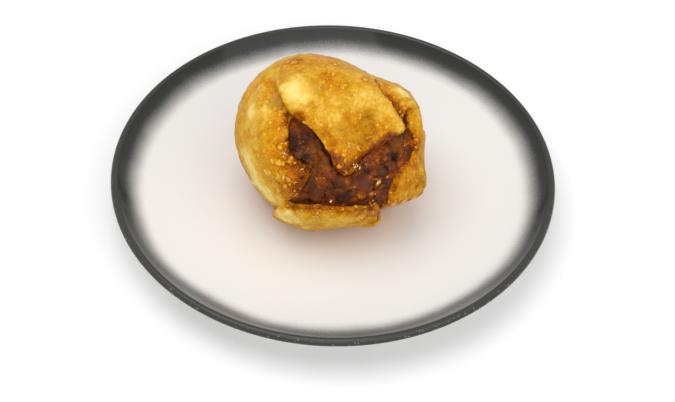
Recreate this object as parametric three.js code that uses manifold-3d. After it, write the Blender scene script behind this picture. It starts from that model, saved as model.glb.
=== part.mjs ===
// A round coupe plate with one fried dim sim on it: a ball of mince in a folded wrapper.
// Millimetres, +Z up. The origin is on the table under the middle of the plate's foot ring,
// and -Y is the side that the open face of the dim sim looks to.

import * as THREE from 'three';
import { mergeVertices } from 'three/addons/utils/BufferGeometryUtils.js';
import { ImprovedNoise } from 'three/addons/math/ImprovedNoise.js';
import Module from 'manifold-3d';

const wasm = await Module();
wasm.setup();

// ---------------------------------------------------------------- driving dimensions

const DEGREE = Math.PI / 180;

// The plate: a flat well, a short curved wall and a rounded lip.
const PLATE_RADIUS = 82.5;
const PLATE_HEIGHT = 16;
const WELL_TOP = 8;
const WELL_RADIUS = 69;
const WALL_RUN = 10.6;
const LIP_THICKNESS = 3;
const BELLY_RADIUS = 66;
const BELLY_HEIGHT = 4.2;
const FOOT_RADIUS = 46;
const FOOT_WIDTH = 4;
const FOOT_HEIGHT = 2.9;
const FOOT_DRAFT = 0.8;
const RECESS_HEIGHT = 2.2;
// The wall leaves the well in a soft curve and ends, this far out and up from the well's edge.
const KNEE_RUN = 5.4;
const KNEE_RISE = 2;
const PLATE_SIDES = 60;
const PLATE_CURVE_STEPS = 4;

// The dim sim: a ball about 69 mm across, flattened where it sits on the plate. Its open face
// leans back. Places on it are given from its centre, across and up the face, in millimetres.
const BALL_CENTRE = new THREE.Vector3(-1.3, -7.7, 35);
const FACE_TILT = 44.4 * DEGREE;
const REST_HEIGHT = WELL_TOP + 0.1;
const FACE_DEPTH = 26.5;
const BACK_DEPTH = 32;
const BALL_SQUARENESS = 2.35;
// How softly the ball's side runs into its flat base.
const BASE_BLEND = 3;
// Half widths of the ball round the face, every 30 degrees from its right side, going up.
const GIRTH = [31.8, 33.8, 28.2, 30.4, 34.4, 35.6, 34.1, 31.1, 30.4, 28.8, 29.4, 32.8];
const WALL = 1.8;
const CLEARANCE = 0.3;
// One millimetre over the skin is about two degrees of lean, seen from the centre.
const DEGREES_PER_MM = 2;

// ---------------------------------------------------------------- helpers

const clamp01 = (x) => Math.min(1, Math.max(0, x));
const mix = (a, b, x) => a + (b - a) * x;
const bell = (distance, spread) => Math.exp(-0.5 * (distance / spread) ** 2);

function ease(from, to, x) {
  const k = clamp01((x - from) / (to - from));
  return k * k * (3 - 2 * k);
}

// Moves each vertex of a plain shape to the place that a formula gives it.
function shaped(geometry, place) {
  const position = geometry.attributes.position;
  const vertex = new THREE.Vector3();
  for (let i = 0; i < position.count; i += 1) {
    vertex.fromBufferAttribute(position, i);
    const moved = place(vertex);
    position.setXYZ(i, moved.x, moved.y, moved.z);
  }
  return geometry;
}

// A closed geometry as a solid: vertices shared, no empty triangles, faces pointing out.
function solidOf(geometry) {
  const bare = geometry.clone();
  bare.deleteAttribute('normal');
  bare.deleteAttribute('uv');
  const merged = mergeVertices(bare, 1e-3);
  const place = merged.attributes.position;
  const triangles = [];
  let volume = 0;
  const [a, b, c] = [new THREE.Vector3(), new THREE.Vector3(), new THREE.Vector3()];
  for (let i = 0; i < merged.index.count; i += 3) {
    const [p, q, r] = [0, 1, 2].map((k) => merged.index.getX(i + k));
    if (p === q || q === r || r === p) continue;
    triangles.push([p, q, r]);
    a.fromBufferAttribute(place, p);
    b.fromBufferAttribute(place, q);
    c.fromBufferAttribute(place, r);
    volume += a.dot(b.cross(c));
  }
  const outward = volume > 0 ? triangles : triangles.map(([p, q, r]) => [p, r, q]);
  return new wasm.Manifold(new wasm.Mesh({
    numProp: 3,
    vertProperties: Float32Array.from(place.array),
    triVerts: Uint32Array.from(outward.flat()),
  }));
}

// The largest skin of a solid: crumbs that a cut leaves over are dropped, and pockets that a
// join shuts in are filled.
function largestBody(solid) {
  const bodies = solid.decompose();
  return bodies.reduce((best, body) => (body.volume() > best.volume() ? body : best));
}

function geometryOf(solid) {
  const mesh = solid.getMesh();
  const geometry = new THREE.BufferGeometry();
  geometry.setAttribute('position', new THREE.BufferAttribute(mesh.vertProperties, 3));
  geometry.setIndex(new THREE.BufferAttribute(mesh.triVerts, 1));
  geometry.computeVertexNormals();
  return geometry;
}

function part(name, geometry, look) {
  const mesh = new THREE.Mesh(geometry, new THREE.MeshStandardMaterial(look));
  mesh.name = name;
  return mesh;
}

// ---------------------------------------------------------------- plate

function plateSolid() {
  const lip = LIP_THICKNESS / 2;
  const lipMiddle = PLATE_RADIUS - lip;
  const outline = new THREE.Path();
  outline.moveTo(0, WELL_TOP);
  outline.lineTo(WELL_RADIUS, WELL_TOP);
  outline.quadraticCurveTo(
    WELL_RADIUS + KNEE_RUN * 0.6, WELL_TOP, WELL_RADIUS + KNEE_RUN, WELL_TOP + KNEE_RISE);
  outline.lineTo(WELL_RADIUS + WALL_RUN, PLATE_HEIGHT - lip * 0.7);
  outline.absarc(lipMiddle, PLATE_HEIGHT - lip, lip, 150 * DEGREE, -30 * DEGREE, true);
  outline.lineTo(BELLY_RADIUS, BELLY_HEIGHT);
  outline.lineTo(FOOT_RADIUS + FOOT_DRAFT, FOOT_HEIGHT);
  outline.lineTo(FOOT_RADIUS, 0);
  outline.lineTo(FOOT_RADIUS - FOOT_WIDTH, 0);
  outline.lineTo(FOOT_RADIUS - FOOT_WIDTH - FOOT_DRAFT, RECESS_HEIGHT);
  outline.lineTo(0, RECESS_HEIGHT);
  const turned = new THREE.LatheGeometry(outline.getPoints(PLATE_CURVE_STEPS), PLATE_SIDES);
  return solidOf(turned.rotateX(Math.PI / 2));
}

// ---------------------------------------------------------------- the ball's form

// Half width of the ball in one direction round its face: a smooth closed curve.
function girth(turn) {
  const step = (((turn / DEGREE) % 360) + 360) % 360 / 30;
  const first = Math.floor(step);
  const x = step - first;
  const [a, b, c, d] = [-1, 0, 1, 2].map((k) => GIRTH[(first + k + 12) % 12]);
  const bend = 2 * a - 5 * b + 4 * c - d;
  return b + 0.5 * x * (c - a + x * (bend + x * (3 * (b - c) + d - a)));
}

// Lumps and hollows of the skin: lean from the face's middle and turn round it, in degrees,
// then how far the skin stands out there and how wide the lump is, in degrees.
const LUMPS = [
  { lean: 78, turn: -24, height: 3.2, spread: 7 },
  { lean: 80, turn: -60, height: 2.9, spread: 5 },
  { lean: 78, turn: -121, height: 0.9, spread: 6 },
  { lean: 86, turn: -44, height: -4.4, spread: 6.5 },
  { lean: 84, turn: -103, height: 1.3, spread: 7 },
  { lean: 122, turn: 24, height: 1.6, spread: 15 },
  { lean: 112, turn: 62, height: -1.4, spread: 11 },
  { lean: 130, turn: 96, height: 1.5, spread: 16 },
  { lean: 126, turn: 160, height: 1.4, spread: 15 },
  { lean: 142, turn: 178, height: -1.2, spread: 12 },
  { lean: 122, turn: -146, height: 2.4, spread: 16 },
  { lean: 122, turn: -36, height: 2.2, spread: 16 },
];
// Pleats of the wrapper that run over the ball's side and back, away from the face: from one
// lean to another in degrees, with their height and width in millimetres.
const PLEAT_FADE_OUT = 14;
const PLEAT_FADE_IN = 10;
const PLEATS = [
  { turn: 40, from: 96, to: 150, height: 1.3, width: 2.4 },
  { turn: 57, from: 104, to: 146, height: 0.9, width: 2 },
  { turn: 172, from: 104, to: 135, height: 1.1, width: 2.2 },
  { turn: -148, from: 104, to: 140, height: 1, width: 2.6 },
  { turn: -12, from: 104, to: 140, height: 1.1, width: 2.4 },
];

function skyDirection(lean, turn) {
  return new THREE.Vector3(
    Math.sin(lean) * Math.cos(turn), Math.sin(lean) * Math.sin(turn), Math.cos(lean));
}

const lumpDirections = LUMPS.map(({ lean, turn }) => skyDirection(lean * DEGREE, turn * DEGREE));

function relief(lean, turn) {
  const here = skyDirection(lean, turn);
  let height = 0;
  LUMPS.forEach((lump, i) => {
    height += lump.height * bell(here.angleTo(lumpDirections[i]) / DEGREE, lump.spread);
  });
  for (const pleat of PLEATS) {
    const away = Math.sin(turn - pleat.turn * DEGREE) * Math.sin(lean) * FACE_DEPTH;
    const sameSide = Math.cos(turn - pleat.turn * DEGREE) > 0 ? 1 : 0;
    const [from, to] = [pleat.from, pleat.to];
    const lengthwise = ease(from - PLEAT_FADE_OUT, from + PLEAT_FADE_IN, lean / DEGREE)
      * (1 - ease(to - PLEAT_FADE_OUT, to + PLEAT_FADE_IN, lean / DEGREE));
    height += pleat.height * bell(away, pleat.width) * lengthwise * sameSide;
  }
  return height;
}

function softMin(a, b, blend) {
  const overlap = Math.max(blend - Math.abs(a - b), 0) / blend;
  return Math.min(a, b) - overlap * overlap * blend * 0.25;
}

// A place on the ball: lean from the face's middle, turn round it, and the layer that it lies
// on, which is the height above the wrapper's outer skin.
function ballPoint(lean, turn, layer) {
  const side = girth(turn) + layer;
  const depth = (Math.cos(lean) > 0 ? FACE_DEPTH : BACK_DEPTH) + layer;
  const reach = (Math.sin(lean) / side) ** BALL_SQUARENESS
    + (Math.abs(Math.cos(lean)) / depth) ** BALL_SQUARENESS;
  let radius = reach ** (-1 / BALL_SQUARENESS) + relief(lean, turn);
  const across = Math.sin(lean) * Math.cos(turn);
  const up = Math.sin(lean) * Math.sin(turn);
  const out = Math.cos(lean);
  const rise = up * Math.cos(FACE_TILT) + out * Math.sin(FACE_TILT);
  if (rise < -0.05) {
    const rest = REST_HEIGHT - Math.min(layer, 0);
    radius = softMin(radius, (BALL_CENTRE.z - rest) / -rise, BASE_BLEND);
  }
  return new THREE.Vector3(
    across * radius,
    (up * Math.sin(FACE_TILT) - out * Math.cos(FACE_TILT)) * radius,
    rise * radius,
  ).add(BALL_CENTRE);
}

// A spot on the ball is kept as its lean and turn laid out flat. onFace finds it from the
// millimetres across and up the face at which it is seen, for a skin that is lifted there.
function spot(lean, turn) {
  return new THREE.Vector2(lean * Math.cos(turn * DEGREE), lean * Math.sin(turn * DEGREE));
}

function onFace([across, up], lift = 1.5) {
  const turn = Math.atan2(up, across);
  const away = Math.hypot(across, up);
  const share = Math.min(1, away / (girth(turn) + lift));
  const out = (FACE_DEPTH + lift) * (1 - share ** BALL_SQUARENESS) ** (1 / BALL_SQUARENESS);
  return spot(Math.atan2(away, out) / DEGREE, turn / DEGREE);
}

function spotPoint(place, layer) {
  return ballPoint(place.length() * DEGREE, Math.atan2(place.y, place.x), layer);
}

// How far a spot lies from a place on the face, in millimetres over the skin.
function apart(place, [across, up]) {
  return place.distanceTo(onFace([across, up])) / DEGREES_PER_MM;
}

// ---------------------------------------------------------------- wrapper: the cup

// The mouth's outline on the face, across and up: hidden by the flaps at the left and the top.
const MOUTH = [
  [29.8, 1.4], [27.2, -6.8], [24.2, -10.8], [22.2, -16], [20.6, -21.4], [13, -22.6],
  [-1, -23.2], [-13, -22.2], [-20.5, -14], [-17.8, 0], [-12.5, 10], [0, 14], [13, 12], [24, 9.5],
];
const RIM_LEAN = mouthLeans();
// The lean at which the bowl's rim lies before it is stretched to the mouth's outline.
const BOWL_START = 0.3 * Math.PI;
const BOWL_COLUMNS = 46;
const OUTER_RINGS = 20;
const INNER_RINGS = 9;

// The mouth's lean for every degree of turn, from a closed curve through the outline.
function mouthLeans() {
  const corners = MOUTH.map((corner) => onFace(corner, 0));
  const curve = new THREE.CatmullRomCurve3(
    corners.map(({ x, y }) => new THREE.Vector3(x, y, 0)), true, 'centripetal');
  const leans = new Array(360).fill(0);
  for (const point of curve.getSpacedPoints(2880)) {
    const turn = Math.round(Math.atan2(point.y, point.x) / DEGREE + 360) % 360;
    leans[turn] = Math.hypot(point.x, point.y);
  }
  return leans;
}

function rimLean(turn) {
  const degrees = ((turn / DEGREE) % 360 + 360) % 360;
  const first = Math.floor(degrees) % 360;
  return mix(RIM_LEAN[first], RIM_LEAN[(first + 1) % 360], degrees - Math.floor(degrees));
}

// A bowl with a wall a tenth of its radius thick, turned round the face's axis. The radius says
// which side of the wall a vertex is on, and the lean is stretched to run from the mouth's rim
// to the back. spare makes the wall thicker and the mouth tighter, to cut with.
function cup(spare = 0) {
  const onSection = (share, radius) => [mix(Math.PI, BOWL_START, share), radius];
  const section = [];
  for (let i = 0; i <= OUTER_RINGS; i += 1) section.push(onSection(i / OUTER_RINGS, 1));
  section.push(onSection(1.01, 0.95));
  for (let i = INNER_RINGS; i >= 0; i -= 1) section.push(onSection(i / INNER_RINGS, 0.9));
  const points = section.map(([lean, radius]) => {
    const away = lean === Math.PI ? 0 : Math.sin(lean) * radius;
    return new THREE.Vector2(away, Math.cos(lean) * radius);
  });
  const bowl = new THREE.LatheGeometry(points, BOWL_COLUMNS);
  return solidOf(shaped(bowl, (vertex) => {
    const turn = Math.atan2(vertex.z, vertex.x);
    const radius = vertex.length();
    const lean = Math.acos(Math.max(-1, vertex.y / radius));
    const along = (lean - BOWL_START) / (Math.PI - BOWL_START);
    const rim = (rimLean(turn) - spare * DEGREES_PER_MM) * DEGREE;
    const stretched = mix(rim, Math.PI, along);
    const depth = (1 - radius) / 0.1;
    return ballPoint(stretched, turn, mix(spare, -WALL - spare, depth));
  }));
}

// ---------------------------------------------------------------- wrapper: the flaps

// A flap is a slab between four curves on the ball: it grows out of the cup's wall at its root
// and ends in a free edge. lift(s, t, place) is the layer of its middle, s from root to edge and
// t from its left to its right side. spare makes the slab larger all round, to cut with.
const BORDER_SWELL = 0.35;
const BORDER_THINNING = 0.72;

function flap({ left, right, root, edge, lift, thickness, cells }, spare = 0) {
  const curve = (spots) => new THREE.SplineCurve(spots);
  const leftSide = curve(left);
  const rightSide = curve(right);
  const rootLine = curve([left[0], ...root, right[0]]);
  const edgeLine = curve([left.at(-1), ...edge, right.at(-1)]);
  const [acrossCells, alongCells] = cells;
  const slab = new THREE.BoxGeometry(1, 1, 1, acrossCells, alongCells, 2);
  const middle = flapSpot(0.5, 0.5);

  function flapSpot(s, t) {
    const x = new THREE.Vector2();
    x.addScaledVector(rootLine.getPoint(t), 1 - s).addScaledVector(edgeLine.getPoint(t), s);
    x.addScaledVector(leftSide.getPoint(s), 1 - t).addScaledVector(rightSide.getPoint(s), t);
    x.addScaledVector(left[0], -(1 - s) * (1 - t)).addScaledVector(right[0], -(1 - s) * t);
    x.addScaledVector(left.at(-1), -s * (1 - t)).addScaledVector(right.at(-1), -s * t);
    return x;
  }

  return solidOf(shaped(slab, (vertex) => {
    const t = clamp01(vertex.x + 0.5);
    const s = clamp01(vertex.y + 0.5);
    const place = flapSpot(s, t);
    const atBorder = Math.abs(vertex.x) > 0.499 || Math.abs(vertex.y) > 0.499;
    const inside = Math.abs(vertex.z) < 0.01;
    const swell = spare + (atBorder && inside ? BORDER_SWELL : 0);
    const outward = place.clone().sub(middle).normalize();
    if (atBorder) place.addScaledVector(outward, swell * DEGREES_PER_MM);
    const half = (thickness / 2) * (atBorder ? BORDER_THINNING : 1) + spare;
    return spotPoint(place, lift(s, t, place) + Math.sign(inside ? 0 : vertex.z) * half);
  }));
}

const puff = (place, centre, height, spread) => height * bell(apart(place, centre), spread);

// The left flap: a thick bulging fold whose pointed corner reaches over the mouth.
const LEFT_FLAP = {
  left: [onFace([-25, 20.5], 0), onFace([-18.6, 14.5])],
  right: [onFace([-22, -22], 0), onFace([-14.4, -20.8]), onFace([-9.2, -15.5]),
    onFace([-6.9, -11.5]), onFace([-6, -8.4])],
  root: [onFace([-30.6, 9], 0), onFace([-31, -4], 0), onFace([-27.5, -14.5], 0)],
  edge: [onFace([-15.2, 8]), onFace([-14.5, 1]), onFace([-13.6, -3.6]), onFace([-10.4, -6.8])],
  thickness: 2.3,
  cells: [15, 11],
  lift(s, t, place) {
    const rise = mix(-1.1, 1.8, ease(0, 0.5, s)) - 1.3 * (1 - ease(0.02, 0.3, t)) * s;
    return rise + puff(place, [-22, -2], 0.7, 5) - 0.9 * ease(0.8, 1, t) * ease(0.75, 1, s);
  },
};

// The top flap: the large one, lying over the left flap and the right-hand fold.
const TOP_FLAP = {
  left: [onFace([-22.2, 22.8], 0), onFace([-19.1, 16.2]), onFace([-13.3, 9.3]),
    onFace([-5, 3.5]), onFace([0, -4.5]), onFace([0.8, -7.8]), onFace([3.2, -11.2])],
  right: [onFace([15, 23.4], 0), onFace([18.4, 16.6]), onFace([22.6, 10.4]), onFace([25.3, 5.2])],
  root: [onFace([-13, 28.6], 0), onFace([0, 27.9], 0), onFace([9.5, 26.2], 0)],
  edge: [onFace([6.4, -12]), onFace([9.4, -9.8]), onFace([11.4, -5.8]), onFace([14.6, -3]),
    onFace([18.4, -1.4]), onFace([20.8, 2.2])],
  thickness: 2,
  cells: [18, 16],
  lift(s, t, place) {
    const rise = mix(-1.1, 1.2, ease(0, 0.26, s));
    const leftEdge = 0.5 * (1 - ease(0, 0.16, t)) * ease(0.1, 0.25, s) * (1 - ease(0.85, 1, s));
    const corner = 1.5 * ease(0.86, 1, t) * ease(0.6, 1, s);
    const dive = -1.5 * ease(0.8, 1, s) * (1 - ease(0.7, 0.9, t));
    const puffs = puff(place, [-12.5, 18], 2, 4.2) + puff(place, [-9.6, 11], 1, 1.8)
      + puff(place, [11, 17], 1.2, 4) + puff(place, [18, 11], 1, 2.6)
      + puff(place, [0, 24], 0.9, 3.4) + puff(place, [15, 7], -1.6, 3.4)
      + puff(place, [4, 2], -0.8, 3.2) + puff(place, [6, -6], 0.6, 3);
    return rise + leftEdge + corner + dive + puffs;
  },
};

// The lower right flap: its corner sticks out past the ball.
const RIGHT_FLAP = {
  left: [spot(108, 12), onFace([31.6, 3.6], 0.6), onFace([29.3, 2.4], 0.8)],
  right: [spot(106, -38), spot(82, -29), onFace([27.4, -19.9], 1), onFace([20.2, -21.2], 1)],
  root: [spot(112, -2), spot(114, -20)],
  edge: [onFace([28.9, -3.2], 1), onFace([25.6, -7], 1), onFace([22.9, -10.8], 1),
    onFace([20.9, -15.6], 1)],
  thickness: 1.8,
  cells: [12, 11],
  lift(s, t) {
    return mix(-1, 0.8, ease(0, 0.4, s)) + 0.8 * ease(0.75, 1, t) * ease(0.15, 0.4, s);
  },
};

// The front flap: the low lip under the mouth, folded up from below, with a free right end.
const FRONT_FLAP = {
  left: [spot(99, -128), onFace([-19.8, -25.6], 0.8), onFace([-15.6, -21], 0.8)],
  right: [spot(97, -62), onFace([17.4, -25.4], 1), onFace([16.8, -20.6], 1)],
  root: [spot(104, -112), spot(106, -92), spot(102, -76)],
  edge: [onFace([-8, -21.5], 1), onFace([-1, -21.8], 1), onFace([6, -22], 1),
    onFace([12.8, -21.3], 1)],
  thickness: 2,
  cells: [18, 8],
  lift(s, t, place) {
    const rise = mix(-1, 0.9, ease(0, 0.5, s)) + 0.5 * ease(0.85, 1, t);
    return rise + 0.9 * (1 - ease(0, 0.16, t)) * ease(0.3, 0.7, s)
      + puff(place, [-9, -27], 0.7, 3) + puff(place, [6, -26], 0.5, 3);
  },
};

// The back flap: the end of the sheet, brought up over the back and stuck down.
const BACK_FLAP = {
  left: [spot(100, 146), spot(114, 152), spot(136, 156)],
  right: [spot(100, 66), spot(114, 60), spot(132, 52)],
  root: [spot(94, 126), spot(94, 92)],
  edge: [spot(150, 132), spot(158, 96), spot(146, 66)],
  thickness: 1.7,
  cells: [9, 7],
  lift(s, t) {
    return mix(-1, 0.5, ease(0, 0.35, s)) + 0.4 * Math.abs(2 * t - 1) ** 3 * ease(0.2, 0.5, s);
  },
};

// The rolled fold at the upper right: a ridge bent like a horseshoe round a deep crease.
function rolledFold(spare = 0) {
  const course = [[22, 9.4, -1.2], [22.8, 12.4, -0.1], [25.6, 14.6, 0.5], [28.4, 13.2, 0.4],
    [29.6, 8, 0.2], [30, 2.6, 0.2], [29.4, -2.6, -0.8]];
  const path = new THREE.CatmullRomCurve3(
    course.map(([across, up, layer]) => spotPoint(onFace([across, up], layer), layer)));
  const section = new THREE.Shape();
  section.absellipse(0, 0, 2.3 + spare, 2.1 + spare, 0, 2 * Math.PI);
  const ridge = new THREE.ExtrudeGeometry(section, {
    curveSegments: 4, steps: 15, extrudePath: path, bevelEnabled: false,
  });
  return solidOf(ridge);
}

const FLAPS = [LEFT_FLAP, TOP_FLAP, RIGHT_FLAP, FRONT_FLAP, BACK_FLAP];

function wrapperSolid() {
  const whole = FLAPS.reduce((joined, shape) => joined.add(flap(shape)), cup());
  return largestBody(whole.add(rolledFold()));
}

// ---------------------------------------------------------------- filling

// Lumps of the mince in the mouth: place on the face, height and spread in millimetres.
const MINCE_LUMPS = [
  { at: [15, -8], height: 2.8, spread: 4 },
  { at: [24.5, -4], height: 2, spread: 3 },
  { at: [0, -15], height: 1, spread: 4 },
  { at: [9, -17], height: 1.3, spread: 3 },
  { at: [-2.6, -9.8], height: 2.2, spread: 2.4 },
  { at: [-8, 0], height: -1.4, spread: 4.5 },
  { at: [2, -21], height: -1.4, spread: 2.6 },
  { at: [-9, -18], height: -0.8, spread: 3 },
];
const MINCE_TOP = -0.9;
const MINCE_GRID = [40, 25];
// The mince's grid of faces gathers to a point that the top flap hides.
const GRID_POLE = new THREE.Vector3(10, 9, 22).normalize();

function filling() {
  const noise = new ImprovedNoise();
  const core = new THREE.SphereGeometry(1, ...MINCE_GRID);
  const toPole = new THREE.Quaternion().setFromUnitVectors(new THREE.Vector3(0, 0, 1), GRID_POLE);
  const underWall = -WALL / 3;
  const ball = solidOf(shaped(core, (vertex) => {
    const even = Math.acos(Math.min(1, Math.max(-1, vertex.y)));
    const direction = skyDirection(Math.PI * (even / Math.PI) ** 1.25,
      Math.atan2(vertex.z, vertex.x)).applyQuaternion(toPole);
    const lean = Math.acos(Math.min(1, Math.max(-1, direction.z)));
    const turn = Math.atan2(direction.y, direction.x);
    const place = spot(lean / DEGREE, turn / DEGREE);
    const open = 1 - ease(rimLean(turn) - 5, rimLean(turn) - 1.5, lean / DEGREE);
    let heap = MINCE_TOP + 1.4 * noise.noise(place.x * 0.12, place.y * 0.12, 3.7)
      + 0.6 * noise.noise(place.x * 0.25, place.y * 0.25, 9.1);
    for (const { at, height, spread } of MINCE_LUMPS) heap += puff(place, at, height, spread);
    return ballPoint(lean, turn, mix(underWall, heap, open));
  }));
  const inCup = ball.subtract(cup(CLEARANCE)).subtract(rolledFold(CLEARANCE));
  return largestBody(FLAPS.reduce((left, shape) => left.subtract(flap(shape, CLEARANCE)), inCup));
}

// ---------------------------------------------------------------- the whole

const dish = new THREE.Group();
dish.add(
  part('plate', geometryOf(plateSolid()), { color: 0xf0ece4, roughness: 0.2, metalness: 0 }),
  part('wrapper', geometryOf(wrapperSolid()), { color: 0xd9a13c, roughness: 0.45, metalness: 0 }),
  part('filling', geometryOf(filling()), { color: 0x5a3422, roughness: 0.5, metalness: 0 }),
);
dish.updateMatrixWorld(true);

export default dish;
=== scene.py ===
# %% [markdown]
# # A fried dim sim on a round plate
# This lesson dresses three plain solids: a stoneware plate with a smoky rim, a folded wrapper
# of fried dough, and the browned mince that shows where the folds gape. The solids come in at
# their real size, in metres, and nothing here moves or resizes them. Each one is replaced by a
# finer mesh of the same form, because glaze, blisters and crust need far more detail than a
# solid that only has to stand on a table.

# %% Load the frame
import math
import random

import bmesh
import bpy
import numpy as np
from mathutils import Matrix, Vector, noise
from mathutils.bvhtree import BVHTree


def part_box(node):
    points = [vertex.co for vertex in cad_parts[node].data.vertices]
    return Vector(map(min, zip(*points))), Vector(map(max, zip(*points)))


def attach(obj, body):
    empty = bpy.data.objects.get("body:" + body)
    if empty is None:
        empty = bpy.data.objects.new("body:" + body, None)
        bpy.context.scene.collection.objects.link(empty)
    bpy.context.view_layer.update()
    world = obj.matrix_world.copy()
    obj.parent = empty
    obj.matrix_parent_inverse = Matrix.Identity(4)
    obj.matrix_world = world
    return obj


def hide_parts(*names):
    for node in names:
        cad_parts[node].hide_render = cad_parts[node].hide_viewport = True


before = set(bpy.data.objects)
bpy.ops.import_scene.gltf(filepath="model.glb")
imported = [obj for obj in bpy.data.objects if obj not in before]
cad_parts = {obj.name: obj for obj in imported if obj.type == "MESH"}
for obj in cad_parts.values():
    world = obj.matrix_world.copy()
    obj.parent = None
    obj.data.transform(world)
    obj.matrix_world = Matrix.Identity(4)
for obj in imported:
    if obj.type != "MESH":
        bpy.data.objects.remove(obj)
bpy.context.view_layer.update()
MM = 0.001
print("solids:", sorted(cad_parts))

# %% [markdown]
# ## Where the camera stands
# The plate's rim is a true circle, so its ellipse in the picture fixes the camera: how high it
# stands, how far off, and how much it is rolled. A camera could also be placed by eye, but then
# its view would be wrong. It looks down at 45 degrees through a 70 mm lens, with no shift and
# everything in focus.

# %% Camera
CAMERA_PLACE = Vector((0, -344, 363.9)) * MM
CAMERA_TARGET = Vector((1.81, -17.02, 14.6)) * MM
CAMERA_ROLL = math.radians(2.07)
CAMERA_LENS = 70
SENSOR_WIDTH = 36
NEAREST_SEEN = 0.01
FARTHEST_SEEN = 20


def place_camera():
    """A camera at the picture's viewing angle."""
    data = bpy.data.cameras.new("camera")
    data.lens = CAMERA_LENS
    data.sensor_width = SENSOR_WIDTH
    data.clip_start = NEAREST_SEEN
    data.clip_end = FARTHEST_SEEN
    camera = bpy.data.objects.new("camera", data)
    bpy.context.scene.collection.objects.link(camera)
    aim = (CAMERA_TARGET - CAMERA_PLACE).to_track_quat("-Z", "Y").to_matrix()
    turn = aim @ Matrix.Rotation(CAMERA_ROLL, 3, "Z")
    camera.matrix_world = Matrix.Translation(CAMERA_PLACE) @ turn.to_4x4()
    bpy.context.scene.camera = camera


place_camera()
print("camera", round((CAMERA_PLACE - CAMERA_TARGET).length, 3), "m from its target")

# %% [markdown]
# ## Floor and light
# The plate stands on a white sweep under soft studio light. One broad lamp from above shapes the
# food and throws the short shadow, a broader one of about the same power fills from the front
# right, and the white surroundings do the rest. Small hard lamps alone would be simpler, but they
# would burn white spots into a glossy glaze. One small lamp is still needed for the glints of oil,
# and it is linked to the food alone at the end.

# %% Stage
FLOOR_SIZE = 6
FLOOR_PAINT = (0.95, 0.95, 0.95, 1)
FLOOR_ROUGHNESS = 0.9
FLOOR_GLOW = 0.18
WORLD_LIGHT = 0.47
WHITE_LIGHT = (1, 1, 1, 1)
# Lamps: place, target and width in metres, and power in watts.
LAMPS = {
    "key": ((-0.22, 0.0, 1.0), (0, 0, 0), 0.8, 3.8),
    "fill": ((0.35, -0.75, 0.75), (0, 0, 0.02), 1.3, 4.5),
    "glints": ((-0.2, -0.3, 1.0), (0, 0, 0.03), 0.04, 1.4),
}


def area_light(name, place, target, size, power):
    """A square soft lamp at place that looks at target."""
    data = bpy.data.lights.new(name, "AREA")
    data.size = size
    data.energy = power
    lamp = bpy.data.objects.new(name, data)
    bpy.context.scene.collection.objects.link(lamp)
    lamp.location = place
    lamp.rotation_euler = (Vector(target) - Vector(place)).to_track_quat("-Z", "Y").to_euler()
    return lamp


def white_floor():
    """A wide pale floor under the plate's foot."""
    mesh = bpy.data.meshes.new("floor")
    shape = bmesh.new()
    bmesh.ops.create_grid(shape, x_segments=1, y_segments=1, size=FLOOR_SIZE / 2)
    shape.to_mesh(mesh)
    shape.free()
    floor = bpy.data.objects.new("floor", mesh)
    bpy.context.scene.collection.objects.link(floor)
    paint = bpy.data.materials.new("white_sweep")
    paint.use_nodes = True
    inputs = paint.node_tree.nodes["Principled BSDF"].inputs
    inputs["Base Color"].default_value = FLOOR_PAINT
    inputs["Roughness"].default_value = FLOOR_ROUGHNESS
    inputs["Emission Color"].default_value = WHITE_LIGHT
    inputs["Emission Strength"].default_value = FLOOR_GLOW
    mesh.materials.append(paint)


def studio():
    """White surroundings, and the lamps by name."""
    scene = bpy.context.scene
    scene.view_settings.view_transform = "Standard"
    scene.view_settings.look = "None"
    world = bpy.data.worlds.new("surroundings")
    world.use_nodes = True
    backdrop = world.node_tree.nodes["Background"]
    backdrop.inputs["Color"].default_value = WHITE_LIGHT
    backdrop.inputs["Strength"].default_value = WORLD_LIGHT
    scene.world = world
    return {name: area_light(name, *lamp) for name, lamp in LAMPS.items()}


white_floor()
lamps = studio()
print("stage: floor", FLOOR_SIZE, "m wide, surroundings", WORLD_LIGHT, "lamps", sorted(lamps))

# %% [markdown]
# ## Colours and small tools
# Paint values are given as the eye reads them in a picture, from 0 to 255, and turned into the
# light values that a shader works with. The other helpers make nodes and links short to write.

# %% Shader helpers


def light_value(level):
    """One colour channel, 0 to 255 as seen, as a light value."""
    share = level / 255
    return share / 12.92 if share <= 0.04045 else ((share + 0.055) / 1.055) ** 2.4


def tone(red, green, blue):
    """A colour as seen, as the four numbers that a shader's socket takes."""
    return (light_value(red), light_value(green), light_value(blue), 1)


def fill_sockets(tree, sockets, values):
    """Gives each named socket its value, or a link to it."""
    for key, value in values.items():
        if isinstance(value, bpy.types.NodeSocket):
            tree.links.new(value, sockets[key])
        else:
            sockets[key].default_value = value


def add_node(tree, kind, values=None, **settings):
    """A node with its settings and the values of its inputs, which may be links."""
    node = tree.nodes.new(kind)
    for name, value in settings.items():
        setattr(node, name, value)
    fill_sockets(tree, node.inputs, values or {})
    return node


def use_group(tree, group, values):
    """A node group placed in a material."""
    node = tree.nodes.new("ShaderNodeGroup")
    node.node_tree = group
    fill_sockets(tree, node.inputs, values)
    return node


def blend(tree, factor, first, second):
    """Two colours mixed by a factor."""
    values = {0: factor, 6: first, 7: second}
    return add_node(tree, "ShaderNodeMix", values, data_type="RGBA").outputs[2]


def calc(tree, operation, *values):
    """A math node with up to three values."""
    node = add_node(tree, "ShaderNodeMath", dict(enumerate(values)), operation=operation)
    return node.outputs[0]


def rise(tree, value, low, high, to_low=0.0, to_high=1.0):
    """A value eased from to_low to to_high as it goes from low to high."""
    values = {0: value, 1: low, 2: high, 3: to_low, 4: to_high}
    return add_node(tree, "ShaderNodeMapRange", values, interpolation_type="SMOOTHSTEP").outputs[0]


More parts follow.
